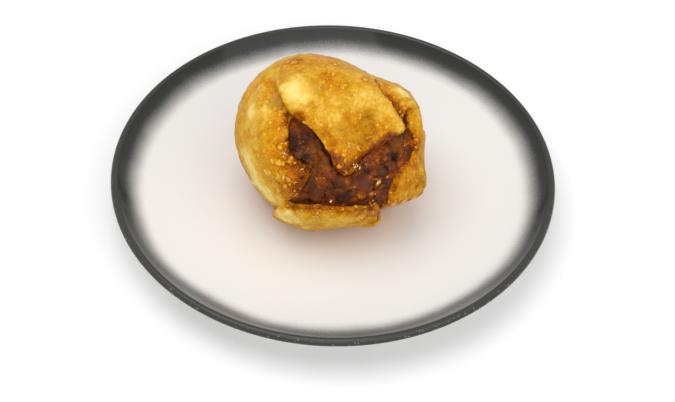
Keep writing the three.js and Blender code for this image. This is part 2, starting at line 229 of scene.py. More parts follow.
def swing(tree, value, reach):
    """Noise that lies round a half, as a shift that lies round nothing."""
    return calc(tree, "MULTIPLY_ADD", value, reach, -reach / 2)


def new_material(name):
    """An empty material with a Principled shader: (material, tree, the shader's sockets)."""
    material = bpy.data.materials.new(name)
    material.use_nodes = True
    tree = material.node_tree
    return material, tree, tree.nodes["Principled BSDF"].inputs


def object_place(tree):
    """Each point's place on the object, in metres."""
    return add_node(tree, "ShaderNodeTexCoord").outputs["Object"]


print("white is", tone(255, 255, 255)[:3])

# %% [markdown]
# ## Two shared effects
# Glaze, dough and meat are all uneven, and all carry spots: specks of glaze, blisters, pepper.
# Both effects are built once as node groups and placed in each material with its own sizes.
# The first gives a broad and a fine noise. The second turns the cells of a Voronoi pattern into
# round spots of which only a share shows.

# %% Node groups
BROAD_DETAIL = 3
FINE_DETAIL = 5
NOISE_ROUGHNESS = 0.6


def group_tree(name, inputs, outputs):
    """An empty node group with named number sockets and a vector: (group, in, out)."""
    group = bpy.data.node_groups.new(name, "ShaderNodeTree")
    group.interface.new_socket("Vector", in_out="INPUT", socket_type="NodeSocketVector")
    for label, start in inputs:
        socket = group.interface.new_socket(label, in_out="INPUT", socket_type="NodeSocketFloat")
        socket.default_value = start
    for label in outputs:
        group.interface.new_socket(label, in_out="OUTPUT", socket_type="NodeSocketFloat")
    return group, group.nodes.new("NodeGroupInput"), group.nodes.new("NodeGroupOutput")


def build_mottle():
    """Broad and fine noise, each centred on a half."""
    group, inlet, outlet = group_tree("mottle", [("Broad", 100), ("Fine", 600)], ["Broad", "Fine"])
    for label, detail in (("Broad", BROAD_DETAIL), ("Fine", FINE_DETAIL)):
        cloud = add_node(group, "ShaderNodeTexNoise", {
            "Vector": inlet.outputs["Vector"], "Scale": inlet.outputs[label],
            "Detail": detail, "Roughness": NOISE_ROUGHNESS})
        group.links.new(cloud.outputs["Fac"], outlet.inputs[label])
    return group


def build_spots():
    """Round spots of mixed sizes: a mask that is 1 in the middle of each spot."""
    group, inlet, outlet = group_tree(
        "spots", [("Scale", 500), ("Size", 0.3), ("Share", 0.5)], ["Mask"])
    cells = add_node(group, "ShaderNodeTexVoronoi", {
        "Vector": inlet.outputs["Vector"], "Scale": inlet.outputs["Scale"], "Randomness": 1.0})
    chance = add_node(group, "ShaderNodeSeparateColor", {"Color": cells.outputs["Color"]})
    chosen = calc(group, "LESS_THAN", chance.outputs[0], inlet.outputs["Share"])
    size = calc(group, "MULTIPLY", inlet.outputs["Size"],
                rise(group, chance.outputs[1], 0.0, 1.0, 0.5, 1.0))
    dome = rise(group, cells.outputs["Distance"], size, 0.0)
    group.links.new(calc(group, "MULTIPLY", dome, chosen), outlet.inputs["Mask"])
    return group


MOTTLE = build_mottle()
SPOTS = build_spots()
print("groups:", MOTTLE.name, SPOTS.name)

# %% [markdown]
# ## The plate
# The real plate is thrown or pressed on a wheel: a flat well, a short wall that curves up, and
# a lip rolled over at the top. It could be a solid with its edges bevelled, but a profile spun
# round the axis is how the thing itself is made, and it gives a true circle. The profile keeps
# the solid's sizes; only its corners become curves.

# %% Plate profile
PLATE_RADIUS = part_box("plate")[1][0]
WELL_TOP = 8 * MM
WELL_RADIUS = 69 * MM
LIP_RADIUS = 1.5 * MM
LIP_MIDDLE = (PLATE_RADIUS - LIP_RADIUS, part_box("plate")[1][2] - LIP_RADIUS)
LIP_TURN = (148, -32)
FOOT_OUTER = 46 * MM
FOOT_INNER = 42 * MM
FOOT_ROUND = 0.6 * MM
# Places on the profile, from the axis and up, and the places that its curves lean towards.
WELL_PULL = (WELL_RADIUS + 3.2 * MM, WELL_TOP + 0.1 * MM)
KNEE = (WELL_RADIUS + 5.4 * MM, WELL_TOP + 2 * MM)
WALL_PULL = (KNEE[0] + 2.6 * MM, KNEE[1] + 2.4 * MM)
BELLY = (66 * MM, 4.2 * MM)
BELLY_PULL_HEIGHT = 8 * MM
SOLE = (47 * MM, 2.9 * MM)
SOLE_PULL = (SOLE[0] + 6 * MM, SOLE[1])
RECESS = 2.2 * MM
RECESS_PULL = (FOOT_INNER - 0.3 * MM, RECESS)
RECESS_EDGE = (FOOT_INNER - 3 * MM, RECESS)
PLATE_STEPS = 180


def curve_points(start, pull, end, count):
    """Points on a curve from start to end that leans towards pull, without the first."""
    points = []
    for i in range(1, count + 1):
        t = i / count
        points.append(tuple((1 - t) ** 2 * a + 2 * t * (1 - t) * b + t * t * c
                            for a, b, c in zip(start, pull, end)))
    return points


def arc_points(middle, radius, first, last, count):
    """Points on an arc, its angles in degrees."""
    angles = [math.radians(first + (last - first) * i / count) for i in range(count + 1)]
    return [(middle[0] + radius * math.cos(a), middle[1] + radius * math.sin(a)) for a in angles]


def plate_profile():
    """The plate's half section from the middle of the well, over the lip, to the foot."""
    lip = arc_points(LIP_MIDDLE, LIP_RADIUS, *LIP_TURN, 14)
    belly_pull = ((lip[-1][0] + BELLY[0]) / 2, BELLY_PULL_HEIGHT)
    points = [(WELL_RADIUS * share, WELL_TOP) for share in (0, 0.4, 0.8, 1)]
    points += curve_points(points[-1], WELL_PULL, KNEE, 7)
    points += curve_points(KNEE, WALL_PULL, lip[0], 5)
    points += lip[1:]
    points += curve_points(lip[-1], belly_pull, BELLY, 6)
    points += curve_points(BELLY, SOLE_PULL, SOLE, 5)
    points += arc_points((FOOT_OUTER - FOOT_ROUND, FOOT_ROUND), FOOT_ROUND, 0, -90, 4)
    points += arc_points((FOOT_INNER + FOOT_ROUND, FOOT_ROUND), FOOT_ROUND, -90, -180, 4)
    points += curve_points((FOOT_INNER, FOOT_ROUND), RECESS_PULL, RECESS_EDGE, 4)
    return points + [(0, RECESS)]


profile = plate_profile()
print("plate profile:", len(profile), "points, radius", round(PLATE_RADIUS / MM, 1), "mm")

# %% Plate mesh
JOINED = 0.01 * MM


def new_piece(name, shape, node, material, replaces=True):
    """A bmesh as a finished piece on the root body, which also replaces the named solid and hides
    it, or not.
    """
    mesh = bpy.data.meshes.new(name)
    shape.to_mesh(mesh)
    shape.free()
    piece = bpy.data.objects.new(name, mesh)
    bpy.context.scene.collection.objects.link(piece)
    for face in mesh.polygons:
        face.use_smooth = True
    mesh.materials.append(material)
    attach(piece, "root")
    if replaces:
        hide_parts(node)
    return piece


def spun_plate():
    """The profile as a chain of edges, spun once round the plate's axis."""
    shape = bmesh.new()
    chain = [shape.verts.new((radius, 0, height)) for radius, height in profile]
    for first, second in zip(chain, chain[1:]):
        shape.edges.new((first, second))
    bmesh.ops.spin(shape, geom=shape.verts[:] + shape.edges[:], cent=(0, 0, 0), axis=(0, 0, 1),
                   angle=2 * math.pi, steps=PLATE_STEPS, use_merge=True)
    bmesh.ops.remove_doubles(shape, verts=shape.verts, dist=JOINED)
    bmesh.ops.recalc_face_normals(shape, faces=shape.faces)
    return shape


plate_shape = spun_plate()
print("plate:", len(plate_shape.verts), "vertices")

# %% [markdown]
# The glaze is white in the well and sprayed with charcoal at the rim. The spray thins out
# inwards over a few millimetres, unevenly and in fine specks. That is a mask on the distance
# from the axis, pushed in and out by noise, which no painted picture is needed for. Along the
# lip's top runs a thin light line in spots, which is a painted highlight.

# %% Glaze
WHITE_GLAZE = tone(254, 253, 252)
CREAM_SHADE = tone(253, 251, 248)
SMOKE = tone(64, 67, 65)
SMOKE_DEEP = tone(42, 44, 43)
LIP_GLAZE = tone(74, 75, 70)
# A painted highlight: the light line in spots along the lip's top.
LIP_HIGHLIGHT_PAINT = tone(168, 164, 152)
BARE_CLAY = tone(196, 184, 166)
DEEP_STRENGTH = 0.55
LIP_STRENGTH = 0.8
LIP_HIGHLIGHT_STRENGTH = 0.5
# Where each band starts and is full, in millimetres from the axis.
CREAM_BAND = (20, 66)
SPRAY_BAND = (70.2, 78.2)
DEEP_BAND = (76.5, 80.5)
LIP_BAND = (79.6, 80.6)
LIP_HIGHLIGHT_BAND = (81.2, 82.1)
# The same up from the table: the lip's own glaze, and the clay of the foot, which is unglazed.
LIP_HEIGHT = (15.0, 15.7)
CLAY_HEIGHT = (0.5, 0.15)
# The spray reaches further in towards the viewer, and a little further at the far side. That
# darker rim along the view is painted shade, in place of the way light and its reflections fall
# on the rim: where it starts and is full, in millimetres along the view, and how far it reaches.
NEAR_SHADE_REACH = (38, 66, 2.5)
FAR_SHADE_REACH = (-40, -66, 0.9)
SWAY = 3.2 * MM
SPECKLE = 1.8 * MM
GLOSS_ROUGHNESS = 0.08
CLAY_ROUGHNESS = 0.8


def band(tree, value, limits):
    """0 before a band and 1 past it. Its limits are in millimetres."""
    return rise(tree, value, limits[0] * MM, limits[1] * MM)


def shaded_spray_gain(tree, value, limits):
    """A distance that the spray gains as painted shade, eased in between two limits."""
    return rise(tree, value, limits[0] * MM, limits[1] * MM, 0, limits[2] * MM)


def glaze():
    """White glaze with a sprayed charcoal rim."""
    material, tree, sockets = new_material("sprayed_glaze")
    place = object_place(tree)
    parts = add_node(tree, "ShaderNodeSeparateXYZ", {0: place}).outputs
    across = add_node(tree, "ShaderNodeCombineXYZ", {0: parts[0], 1: parts[1]}).outputs[0]
    far = add_node(tree, "ShaderNodeVectorMath", {0: across}, operation="LENGTH").outputs["Value"]
    nearer = calc(tree, "MULTIPLY", parts[1], -1.0)
    uneven = use_group(tree, MOTTLE, {"Vector": place, "Broad": 28, "Fine": 1500}).outputs
    # The spray's extra reach towards the viewer and the far side is painted shade.
    edge = calc(tree, "ADD", far, shaded_spray_gain(tree, nearer, NEAR_SHADE_REACH))
    for shift in (shaded_spray_gain(tree, nearer, FAR_SHADE_REACH), swing(tree, uneven["Broad"], SWAY),
                  swing(tree, uneven["Fine"], SPECKLE)):
        edge = calc(tree, "ADD", edge, shift)
    deep = calc(tree, "MULTIPLY", band(tree, edge, DEEP_BAND), DEEP_STRENGTH)
    on_lip = calc(tree, "MULTIPLY", band(tree, parts[2], LIP_HEIGHT), band(tree, far, LIP_BAND))
    # Painted highlight: light spots in a thin band at the lip's top.
    highlight_spots = use_group(tree, SPOTS, {"Vector": place, "Scale": 900, "Size": 0.6, "Share": 0.45})
    painted_lip_highlight = calc(tree, "MULTIPLY", highlight_spots.outputs["Mask"], band(tree, far, LIP_HIGHLIGHT_BAND))
    clay = band(tree, parts[2], CLAY_HEIGHT)
    colour = WHITE_GLAZE
    for share, paint in ((band(tree, far, CREAM_BAND), CREAM_SHADE),
                         (band(tree, edge, SPRAY_BAND), SMOKE), (deep, SMOKE_DEEP),
                         (calc(tree, "MULTIPLY", on_lip, LIP_STRENGTH), LIP_GLAZE),
                         (calc(tree, "MULTIPLY", painted_lip_highlight, LIP_HIGHLIGHT_STRENGTH), LIP_HIGHLIGHT_PAINT),
                         (clay, BARE_CLAY)):
        colour = blend(tree, share, colour, paint)
    dull = calc(tree, "MAXIMUM", calc(tree, "MULTIPLY", clay, CLAY_ROUGHNESS), GLOSS_ROUGHNESS)
    pits = add_node(tree, "ShaderNodeBump", {"Strength": 0.05, "Distance": 0.2 * MM,
                    "Height": uneven["Fine"]})
    fill_sockets(tree, sockets, {"Base Color": colour, "Roughness": dull,
                 "Normal": pits.outputs[0], "Specular IOR Level": 0.3})
    return material


plate = new_piece("plate_glazed", plate_shape, "plate", glaze())
print("plate:", len(plate.data.polygons), "faces")

# %% [markdown]
# ## Finding places on the dim sim
# The dim sim's open face leans back by 44 degrees. Patches, puffs and bits are placed by their
# millimetres across and up that face, measured from the ball's centre, and a ray along the
# face's axis finds the skin under each. That keeps every detail on the food from any side.

# %% Face of the dim sim
FACE_TILT = math.radians(44.4)
BALL_CENTRE = Vector((-1.3, -7.7, 35)) * MM
ACROSS = Vector((1, 0, 0))
UPWARD = Vector((0, math.sin(FACE_TILT), math.cos(FACE_TILT)))
OUTWARD = Vector((0, -math.cos(FACE_TILT), math.sin(FACE_TILT)))
ABOVE_FACE = 60 * MM
FLAP_HEIGHT = 18 * MM


def solid_skin(*nodes):
    """A search tree over the solids' own faces."""
    shape = bmesh.new()
    for node in nodes:
        shape.from_mesh(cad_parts[node].data)
    skin = BVHTree.FromBMesh(shape)
    shape.free()
    return skin


def on_face(skin, across, up):
    """The skin's place under a spot of the face, in millimetres, or the nearest flap beside it."""
    spot = BALL_CENTRE + (ACROSS * across + UPWARD * up) * MM
    place, _, _, _ = skin.ray_cast(spot + OUTWARD * ABOVE_FACE, -OUTWARD)
    if place and (place - spot).dot(OUTWARD) > 0:
        return place
    return skin.find_nearest(spot + OUTWARD * FLAP_HEIGHT)[0]


def along(course, step):
    """Places along a course of places, no more than about a step apart, without the last."""
    for (u0, v0), (u1, v1) in zip(course, course[1:]):
        steps = max(1, round(math.dist((u0, v0), (u1, v1)) / step))
        for k in range(steps):
            yield u0 + (u1 - u0) * (k / steps), v0 + (v1 - v0) * (k / steps)


print("the face looks", [round(x, 2) for x in OUTWARD])

# %% [markdown]
# ## The wrapper's skin
# On the real dim sim this is a sheet of wheat dough, folded round the mince and fried. Hot oil
# blows it up in puffs and small blisters. It could be sculpted by hand. Here the solid's mesh
# is joined, remeshed to small even faces and smoothed, and its vertices then move along their
# normals, so that every puff has a number that can be changed. The side that faces the viewer
# is halved once more, because small blisters show there.

# %% Finer copies of the solids
# How near corners merge, how much a round softens, and a ridge's steps in its radii.
MERGED = 0.002 * MM
SOFTENING = 0.5
RIDGE_STEP = 0.5


def add_lumps(shape, skin, lumps):
    """Balls that stand half out of the skin: across, up, radius and sink, in millimetres."""
    for across, up, radius, sink in lumps:
        middle = on_face(skin, across, up) - OUTWARD * sink * MM
        bmesh.ops.create_icosphere(shape, subdivisions=2, radius=radius * MM,
                                   matrix=Matrix.Translation(middle))


def add_ridge(shape, skin, course, radius, sink):
    """A rounded ridge along a course of places on the face."""
    places = along(course, radius * RIDGE_STEP)
    add_lumps(shape, skin, [(across, up, radius, sink) for across, up in places])


def fine_copy(node, voxel, rounds, extras):
    """A solid's mesh with extra forms, joined, remeshed to small even faces and smoothed."""
    shape = bmesh.new()
    shape.from_mesh(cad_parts[node].data)
    bmesh.ops.remove_doubles(shape, verts=shape.verts, dist=MERGED)
    extras(shape)
    mesh = bpy.data.meshes.new(node + "_fine")
    shape.to_mesh(mesh)
    shape.free()
    copy = bpy.data.objects.new(node + "_fine", mesh)
    bpy.context.scene.collection.objects.link(copy)
    remesh = copy.modifiers.new("remesh", "REMESH")
    remesh.mode = "VOXEL"
    remesh.voxel_size = voxel
    soften = copy.modifiers.new("soften", "SMOOTH")
    soften.iterations = rounds
    soften.factor = SOFTENING
    dressed = copy.evaluated_get(bpy.context.evaluated_depsgraph_get())
    shape = bmesh.new()
    shape.from_mesh(dressed.to_mesh())
    dressed.to_mesh_clear()
    bpy.data.objects.remove(copy)
    return shape


def refine_front(shape, limit):
    """Halves the faces that look out of the open face, where the finest detail is."""
    front = [f for f in shape.faces if f.normal.dot(OUTWARD) > limit
             and (f.calc_center_median() - BALL_CENTRE).dot(OUTWARD) > 0]
    edges = list({edge for face in front for edge in face.edges})
    bmesh.ops.subdivide_edges(shape, edges=edges, cuts=1, use_grid_fill=True, smooth=0.0)
    shape.verts.index_update()
    return len(front)


print("copies are softened by", SOFTENING, "a round")

# %% Wrapper mesh
WRAPPER_VOXEL = 0.8 * MM
SMOOTHING_ROUNDS = 2
WRAPPER_FRONT = 0.1
# The pleat's arch at the upper right, the panel folded over at the lip's right end, and the
# thin lower edge of the right flap: courses on the face, in millimetres across and up.
PLEAT = [(21.4, 10.6), (22.6, 13.6), (25.4, 15.4), (28.4, 14.0), (29.8, 9.6), (30.0, 4.6)]
CORNER_FOLD = [(15.8, -20.6), (16.2, -23.6), (15.8, -26.4), (15.8, -28.6)]
RIGHT_HEM = [(20.6, -20.8), (23.1, -20.4), (26.7, -19.4), (30.2, -18.2), (33.2, -16.6)]


def wrapper_folds(shape):
    """Small folds that the solid only hints at."""
    skin = solid_skin("wrapper", "filling")
    add_ridge(shape, skin, PLEAT, 1.2, 0.7)
    add_ridge(shape, skin, CORNER_FOLD, 1.0, 0.6)
    add_ridge(shape, skin, RIGHT_HEM, 0.7, 0.3)


wrapper_shape = fine_copy("wrapper", WRAPPER_VOXEL, SMOOTHING_ROUNDS, wrapper_folds)
refined = refine_front(wrapper_shape, WRAPPER_FRONT)
wrapper_skin = BVHTree.FromBMesh(wrapper_shape)
print("wrapper:", len(wrapper_shape.verts), "vertices,", refined, "front faces halved")

# %% [markdown]
# ## Fields over the skin
# Relief and colour both start as fields: one number for each vertex. Round bells raise or sink
# a place, cells of a Voronoi pattern make blisters, and brush dabs set a value inside a soft
# circle. The brush reads places that slow noise has pushed about, so no dab looks round.

# %% Fields over the skin
# How steep a dab's edge is, and the numbers that turn a cell's middle into its chance.
DAB_EDGE = 2.4
CELL_WAY = Vector((12.99, 78.23, 37.72))
CELL_MIX = 43758.5


def vertex_places(shape):
    """All vertices as rows of an array, in metres."""
    return np.array([v.co for v in shape.verts])


def shift_along_normals(shape, heights):
    """Moves each vertex along its normal by its own height."""
    shape.normal_update()
    moves = [v.normal.copy() for v in shape.verts]
    for vertex, normal, height in zip(shape.verts, moves, heights):
        vertex.co += normal * float(height)
    shape.normal_update()


def seed_offset(seed):
    """Where in the noise a seed reads."""
    return Vector((seed, seed * 1.7, seed * 2.3))


def fractal(places, scale, octaves, seed):
    """Noise between about -1 and 1 at each place. scale is the size of a lump in metres."""
    offset = seed_offset(seed)
    return np.array([noise.fractal(Vector(p) / scale + offset, 1.0, 2.0, octaves)
                     for p in places])


def pushed_about(places, size, reach, seed):
    """Places moved by slow noise, which gives a soft brush its ragged borders."""
    offset = Vector((seed, seed * 1.3, seed * 0.7))
    push = np.array([noise.noise_vector(Vector(p) / size + offset) for p in places])
    return places + push * reach


def cell_field(places, size, seed):
    """Distance to the nearest cell middle, in cell sizes, and a random number per cell."""
    offset = seed_offset(seed)
    near = np.empty(len(places))
    chance = np.empty(len(places))
    for i, place in enumerate(places):
        distances, middles = noise.voronoi(Vector(place) / size + offset)
        near[i] = distances[0]
        chance[i] = math.sin(middles[0].dot(CELL_WAY)) * CELL_MIX % 1
    return near, chance


def standing_out(shape, rounds):
    """How far each vertex stands out of its smoothed surroundings, in metres."""
    places = vertex_places(shape)
    pairs = np.array([(e.verts[0].index, e.verts[1].index) for e in shape.edges])
    ends = np.concatenate([pairs[:, 0], pairs[:, 1]])
    others = np.concatenate([pairs[:, 1], pairs[:, 0]])
    degree = np.bincount(ends, minlength=len(places))
    soft = places.copy()
    for _ in range(rounds):
        soft = np.stack([np.bincount(ends, soft[others, k], len(places)) / degree
                         for k in range(3)], axis=1)
    normals = np.array([v.normal for v in shape.verts])
    return np.einsum("ij,ij->i", places - soft, normals)


print("cells read seeds at", tuple(round(x, 1) for x in seed_offset(1)))

# %% Brushes


def bell(places, centre, spread):
    """For each place, 1 at the centre and falling off smoothly over the spread."""
    away = np.linalg.norm(places - np.array(centre), axis=1)
    return np.exp(-0.5 * (away / spread) ** 2)


def course_field(places, skin, course, spread):
    """1 along a course on the skin, falling off to its sides over the spread in millimetres."""
    nearest = np.full(len(places), 1.0)
    stops = [np.array(on_face(skin, *spot)) for spot in [*along(course, 1), course[-1]]]
    for first, second in zip(stops, stops[1:]):
        run = second - first
        length = float(run @ run)
        if length == 0:
            continue
        share = np.clip((places - first) @ run / length, 0, 1)
        away = np.linalg.norm(places - first - share[:, None] * run, axis=1)
        nearest = np.minimum(nearest, away)
    return np.exp(-0.5 * (nearest / (spread * MM)) ** 2)


def dab(field, places, skin, dabs, usual):
    """Brush dabs: across, up, radius in millimetres, the value to reach, and how firmly.

    A dab without that last number is as firm as usual.
    """
    for across, up, radius, value, *own in dabs:
        firmness = own[0] if own else usual
        away = np.linalg.norm(places - np.array(on_face(skin, across, up)), axis=1)
        field += (value - field) * firmness * np.exp(-(away / (radius * MM)) ** DAB_EDGE)
    return field


def painted(places, skin, dabs):
    """A field of nothing with dabs on it, each as firm as can be unless it says otherwise."""
    return dab(np.zeros(len(places)), places, skin, dabs, 1)


def stroke(field, places, skin, strokes):
    """Brush strokes along courses: course, radius, value and firmness."""
    for course, radius, value, firmness in strokes:
        weight = firmness * np.sqrt(course_field(places, skin, course, radius))
        field += (value - field) * weight
    return field


print("brushes ready, a dab's edge falls with the power", DAB_EDGE)

# %% [markdown]
# ## Relief of the wrapper
# The top flap is blown up at its left, dips in a saddle beside that puff and again over the
# filling at its right, and thins out at its tip, where juice soaked it. The small puffs and the
# creases between the folds are placed one by one, and three sizes of blister lie over them all.

# %% Swells and creases
# Swells and puffs: across, up, spread and height, in millimetres.
SWELLS = [
    (-11.5, 16, 4.5, 1.1), (-2.5, 21, 2.6, -0.9), (-3.4, 15.8, 2, -0.7), (9, 17.5, 3.2, 0.8),
    (15, 12.5, 3.2, 1), (20.4, 7, 2.4, 0.9), (13, 7.5, 3.2, -1.4), (12, 1.8, 2.6, -0.9),
    (-1.5, 7.6, 3, 0.9), (4.4, 3, 2.8, 0.5), (8, -3.4, 2, 0.5), (1.4, -3.4, 1.6, -0.3),
    (4, -9.6, 2.6, -0.9), (10.2, -7.4, 2, -0.8), (16.4, -2.6, 2.2, -0.8), (-8, 10.6, 1.6, 0.7),
    (-20.5, 6, 5, 0.5), (-19, -7, 5, 0.5), (-27.4, 9.7, 2.4, 0.4), (24.6, 17.5, 2.4, 0.7),
    (-15.9, -25.2, 1.8, 0.8), (-11.7, -25.9, 1.4, 0.5), (-7.4, -27.2, 1.6, 0.4),
    (-18, -23.4, 1.2, 0.5), (-17.2, 18, 1.2, 0.5), (-15.6, 14.6, 1.2, 0.6),
    (-13.6, 11.4, 1.2, 0.6), (-11.6, 9.4, 1, 0.4), (3, -26.6, 3, 0.5), (29, -11, 3.6, 0.4),
    (24, -16, 2, 0.4),
]
PUFFS = [
    (0.2, 23.5, 0.7, 0.5), (3.4, 19.2, 0.9, 0.5), (-2.4, 8.5, 0.7, 0.4), (-4.2, 6.2, 0.7, 0.4),
    (-0.5, 5.4, 0.7, 0.35), (1, 14, 1, 0.3), (3.3, -8.2, 0.7, 0.6), (9.2, -8, 0.6, 0.5),
    (-21.1, -10.7, 0.8, 0.5), (-25, -2.9, 0.7, 0.45), (-13.6, -12.7, 0.6, 0.5),
    (-13.3, -5.8, 0.7, 0.5), (-18.7, -7.4, 0.6, 0.4), (-16.4, -10.1, 0.7, 0.4),
    (-15.4, -15.6, 0.6, 0.4), (13.4, 13, 0.9, 0.4), (17.8, 11.6, 0.9, 0.4), (17.6, 8.6, 0.8, 0.3),
    (20.4, 9.4, 0.8, 0.35), (11, 21.8, 0.6, 0.4), (-13.1, 27.1, 1, 0.6), (-15, 26, 0.6, 0.4),
    (-11.8, 28.2, 0.6, 0.4), (-21.5, 9.7, 1.1, 0.3), (-24.6, 6.6, 0.8, 0.3), (-23, 12.6, 0.8, 0.3),
]
# Creases between the folds: course, depth and width in millimetres, and how dark each is, as
# painted shade in its colour.
CREASES = [
    ([(-22.4, 21), (-20.2, 18.9), (-18.6, 15.7), (-17.2, 12.5), (-15.4, 9.9),
      (-13.8, 7.6)], 0.9, 1.1, 0.2),
    ([(14.8, 22), (16.9, 18.9), (19.6, 15.2), (22, 12.2), (24.2, 8.6), (25.4, 6)], 0.5, 0.6, 0.5),
    ([(17.6, 21), (20.4, 16.8), (23, 12.6), (24.8, 9.4)], 0.6, 1.4, 0.15),
    ([(26.2, 11.8), (25.8, 10), (25.5, 8.2), (26, 4.2)], 1.5, 0.6, 0.9),
    ([(25.6, 13.4), (24.2, 12.2), (23.6, 10.6)], 0.4, 0.4, 0.2),
    ([(-14.6, -21.6), (-18, -23.2), (-21, -24.4)], 0.6, 0.6, 0.15),
    ([(9.2, -28.1), (13.1, -26.1), (14.2, -24.1), (14.9, -21.4)], 0.7, 0.5, 0.35),
    ([(18.4, -21.7), (17.8, -24.4), (17.6, -26.8)], 0.7, 0.5, 0.7),
    ([(-26.2, -4.4), (-24.6, -9.2), (-23, -11.9), (-21.9, -15.5), (-19.3, -17.9),
      (-17.2, -19.5)], 0.5, 0.5, 0),
    ([(-10.2, 12.4), (-8.2, 12), (-6.4, 13.4)], 0.4, 0.5, 0.1),
]


def relief_field(places, skin, bells):
    """The sum of round bells: across, up, spread and height of each, in millimetres."""
    total = np.zeros(len(places))
    for across, up, spread, height in bells:
        total += height * bell(places, on_face(skin, across, up), spread * MM)
    return total


skin_places = vertex_places(wrapper_shape)
creases = np.zeros(len(skin_places))
crease_depth = np.zeros(len(skin_places))
for course, depth, width, darkness in CREASES:
    line = course_field(skin_places, wrapper_skin, course, width)
    creases = np.maximum(creases, line * darkness)
    crease_depth = np.maximum(crease_depth, line * depth)
swells = relief_field(skin_places, wrapper_skin, SWELLS)
puffs = relief_field(skin_places, wrapper_skin, PUFFS)
print(len(SWELLS), "swells,", len(PUFFS), "puffs,", len(CREASES), "creases")

# %% Blisters
WAVE_HEIGHT = 0.2
RIPPLE_HEIGHT = 0.06
# Blisters: size in metres, share of the cells with one, seed, height in mm, and how it shows.
BLISTERS = [
    (3.2 * MM, 0.3, 2, 0.22, 0.5),
    (1.7 * MM, 0.4, 5, 0.18, 1),
    (1.1 * MM, 0.5, 9, 0.1, 0.7),
]
BLISTER_RADIUS = 0.5
PUFF_SHOWS = 1.2


def blister_field(places, size, share, seed):
    """Round domes, 0 to 1, on a share of the cells."""
    near, chance = cell_field(places, size, seed)
    return np.clip(1 - (near / BLISTER_RADIUS) ** 2, 0, 1) * (chance < share)


skin_height = (WAVE_HEIGHT * fractal(skin_places, 6 * MM, 3, 4.0)
               + RIPPLE_HEIGHT * fractal(skin_places, 1.6 * MM, 3, 8.0))
blistered = puffs * PUFF_SHOWS
for size, share, seed, height, shows in BLISTERS:
    domes = blister_field(skin_places, size, share, seed)
    skin_height += height * domes
    blistered += shows * domes
skin_height = (skin_height + puffs + swells - crease_depth) * MM
shift_along_normals(wrapper_shape, skin_height)
skin_places = vertex_places(wrapper_shape)
print("skin moves from", round(skin_height.min() / MM, 2), "to",
      round(skin_height.max() / MM, 2), "mm")

# %% [markdown]
# ## How far each place is fried
# The colour of fried dough follows heat and fat: cream where steam lifted a puff off the oil,
# gold on the flat, amber on the thin places, brown where an edge soaked up meat juice. All of
# that is one number, the bake, which runs from 0 for cream to 1 for char. It is brushed on the
# vertices: broad dabs, fine ones, strokes along the edges of the flaps, a few last touches, and
# then noise.
# The bake also carries painted shade: it is raised in the creases and a little in the hollows, and
# lowered a little where the skin stands out.

# %% Broad dabs
# Dabs: across, up and radius in millimetres, the bake, and the firmness where it isn't 0.8.
BROAD_DABS = [
    (-27, 9, 7, 0.28), (-24, -4, 6, 0.4), (-19, 2, 4.5, 0.48), (-17, -8, 5, 0.53),
    (-14, -15, 4, 0.6), (-11, 16, 6, 0.2, 0.9), (-1, 21, 5, 0.54), (12, 14, 6, 0.34),
    (0, 7, 5, 0.36, 0.7), (13, 5, 4.4, 0.56), (4, -6, 4.5, 0.72), (-12, -26, 6, 0.24),
    (4, -27, 6, 0.3), (28, -11, 8, 0.6), (0, 29, 7, 0.52), (-31, 12, 4, 0.46), (24, 18, 4, 0.2),
    (-22, 22, 4, 0.44, 0.7),
]
print(len(BROAD_DABS), "broad dabs")

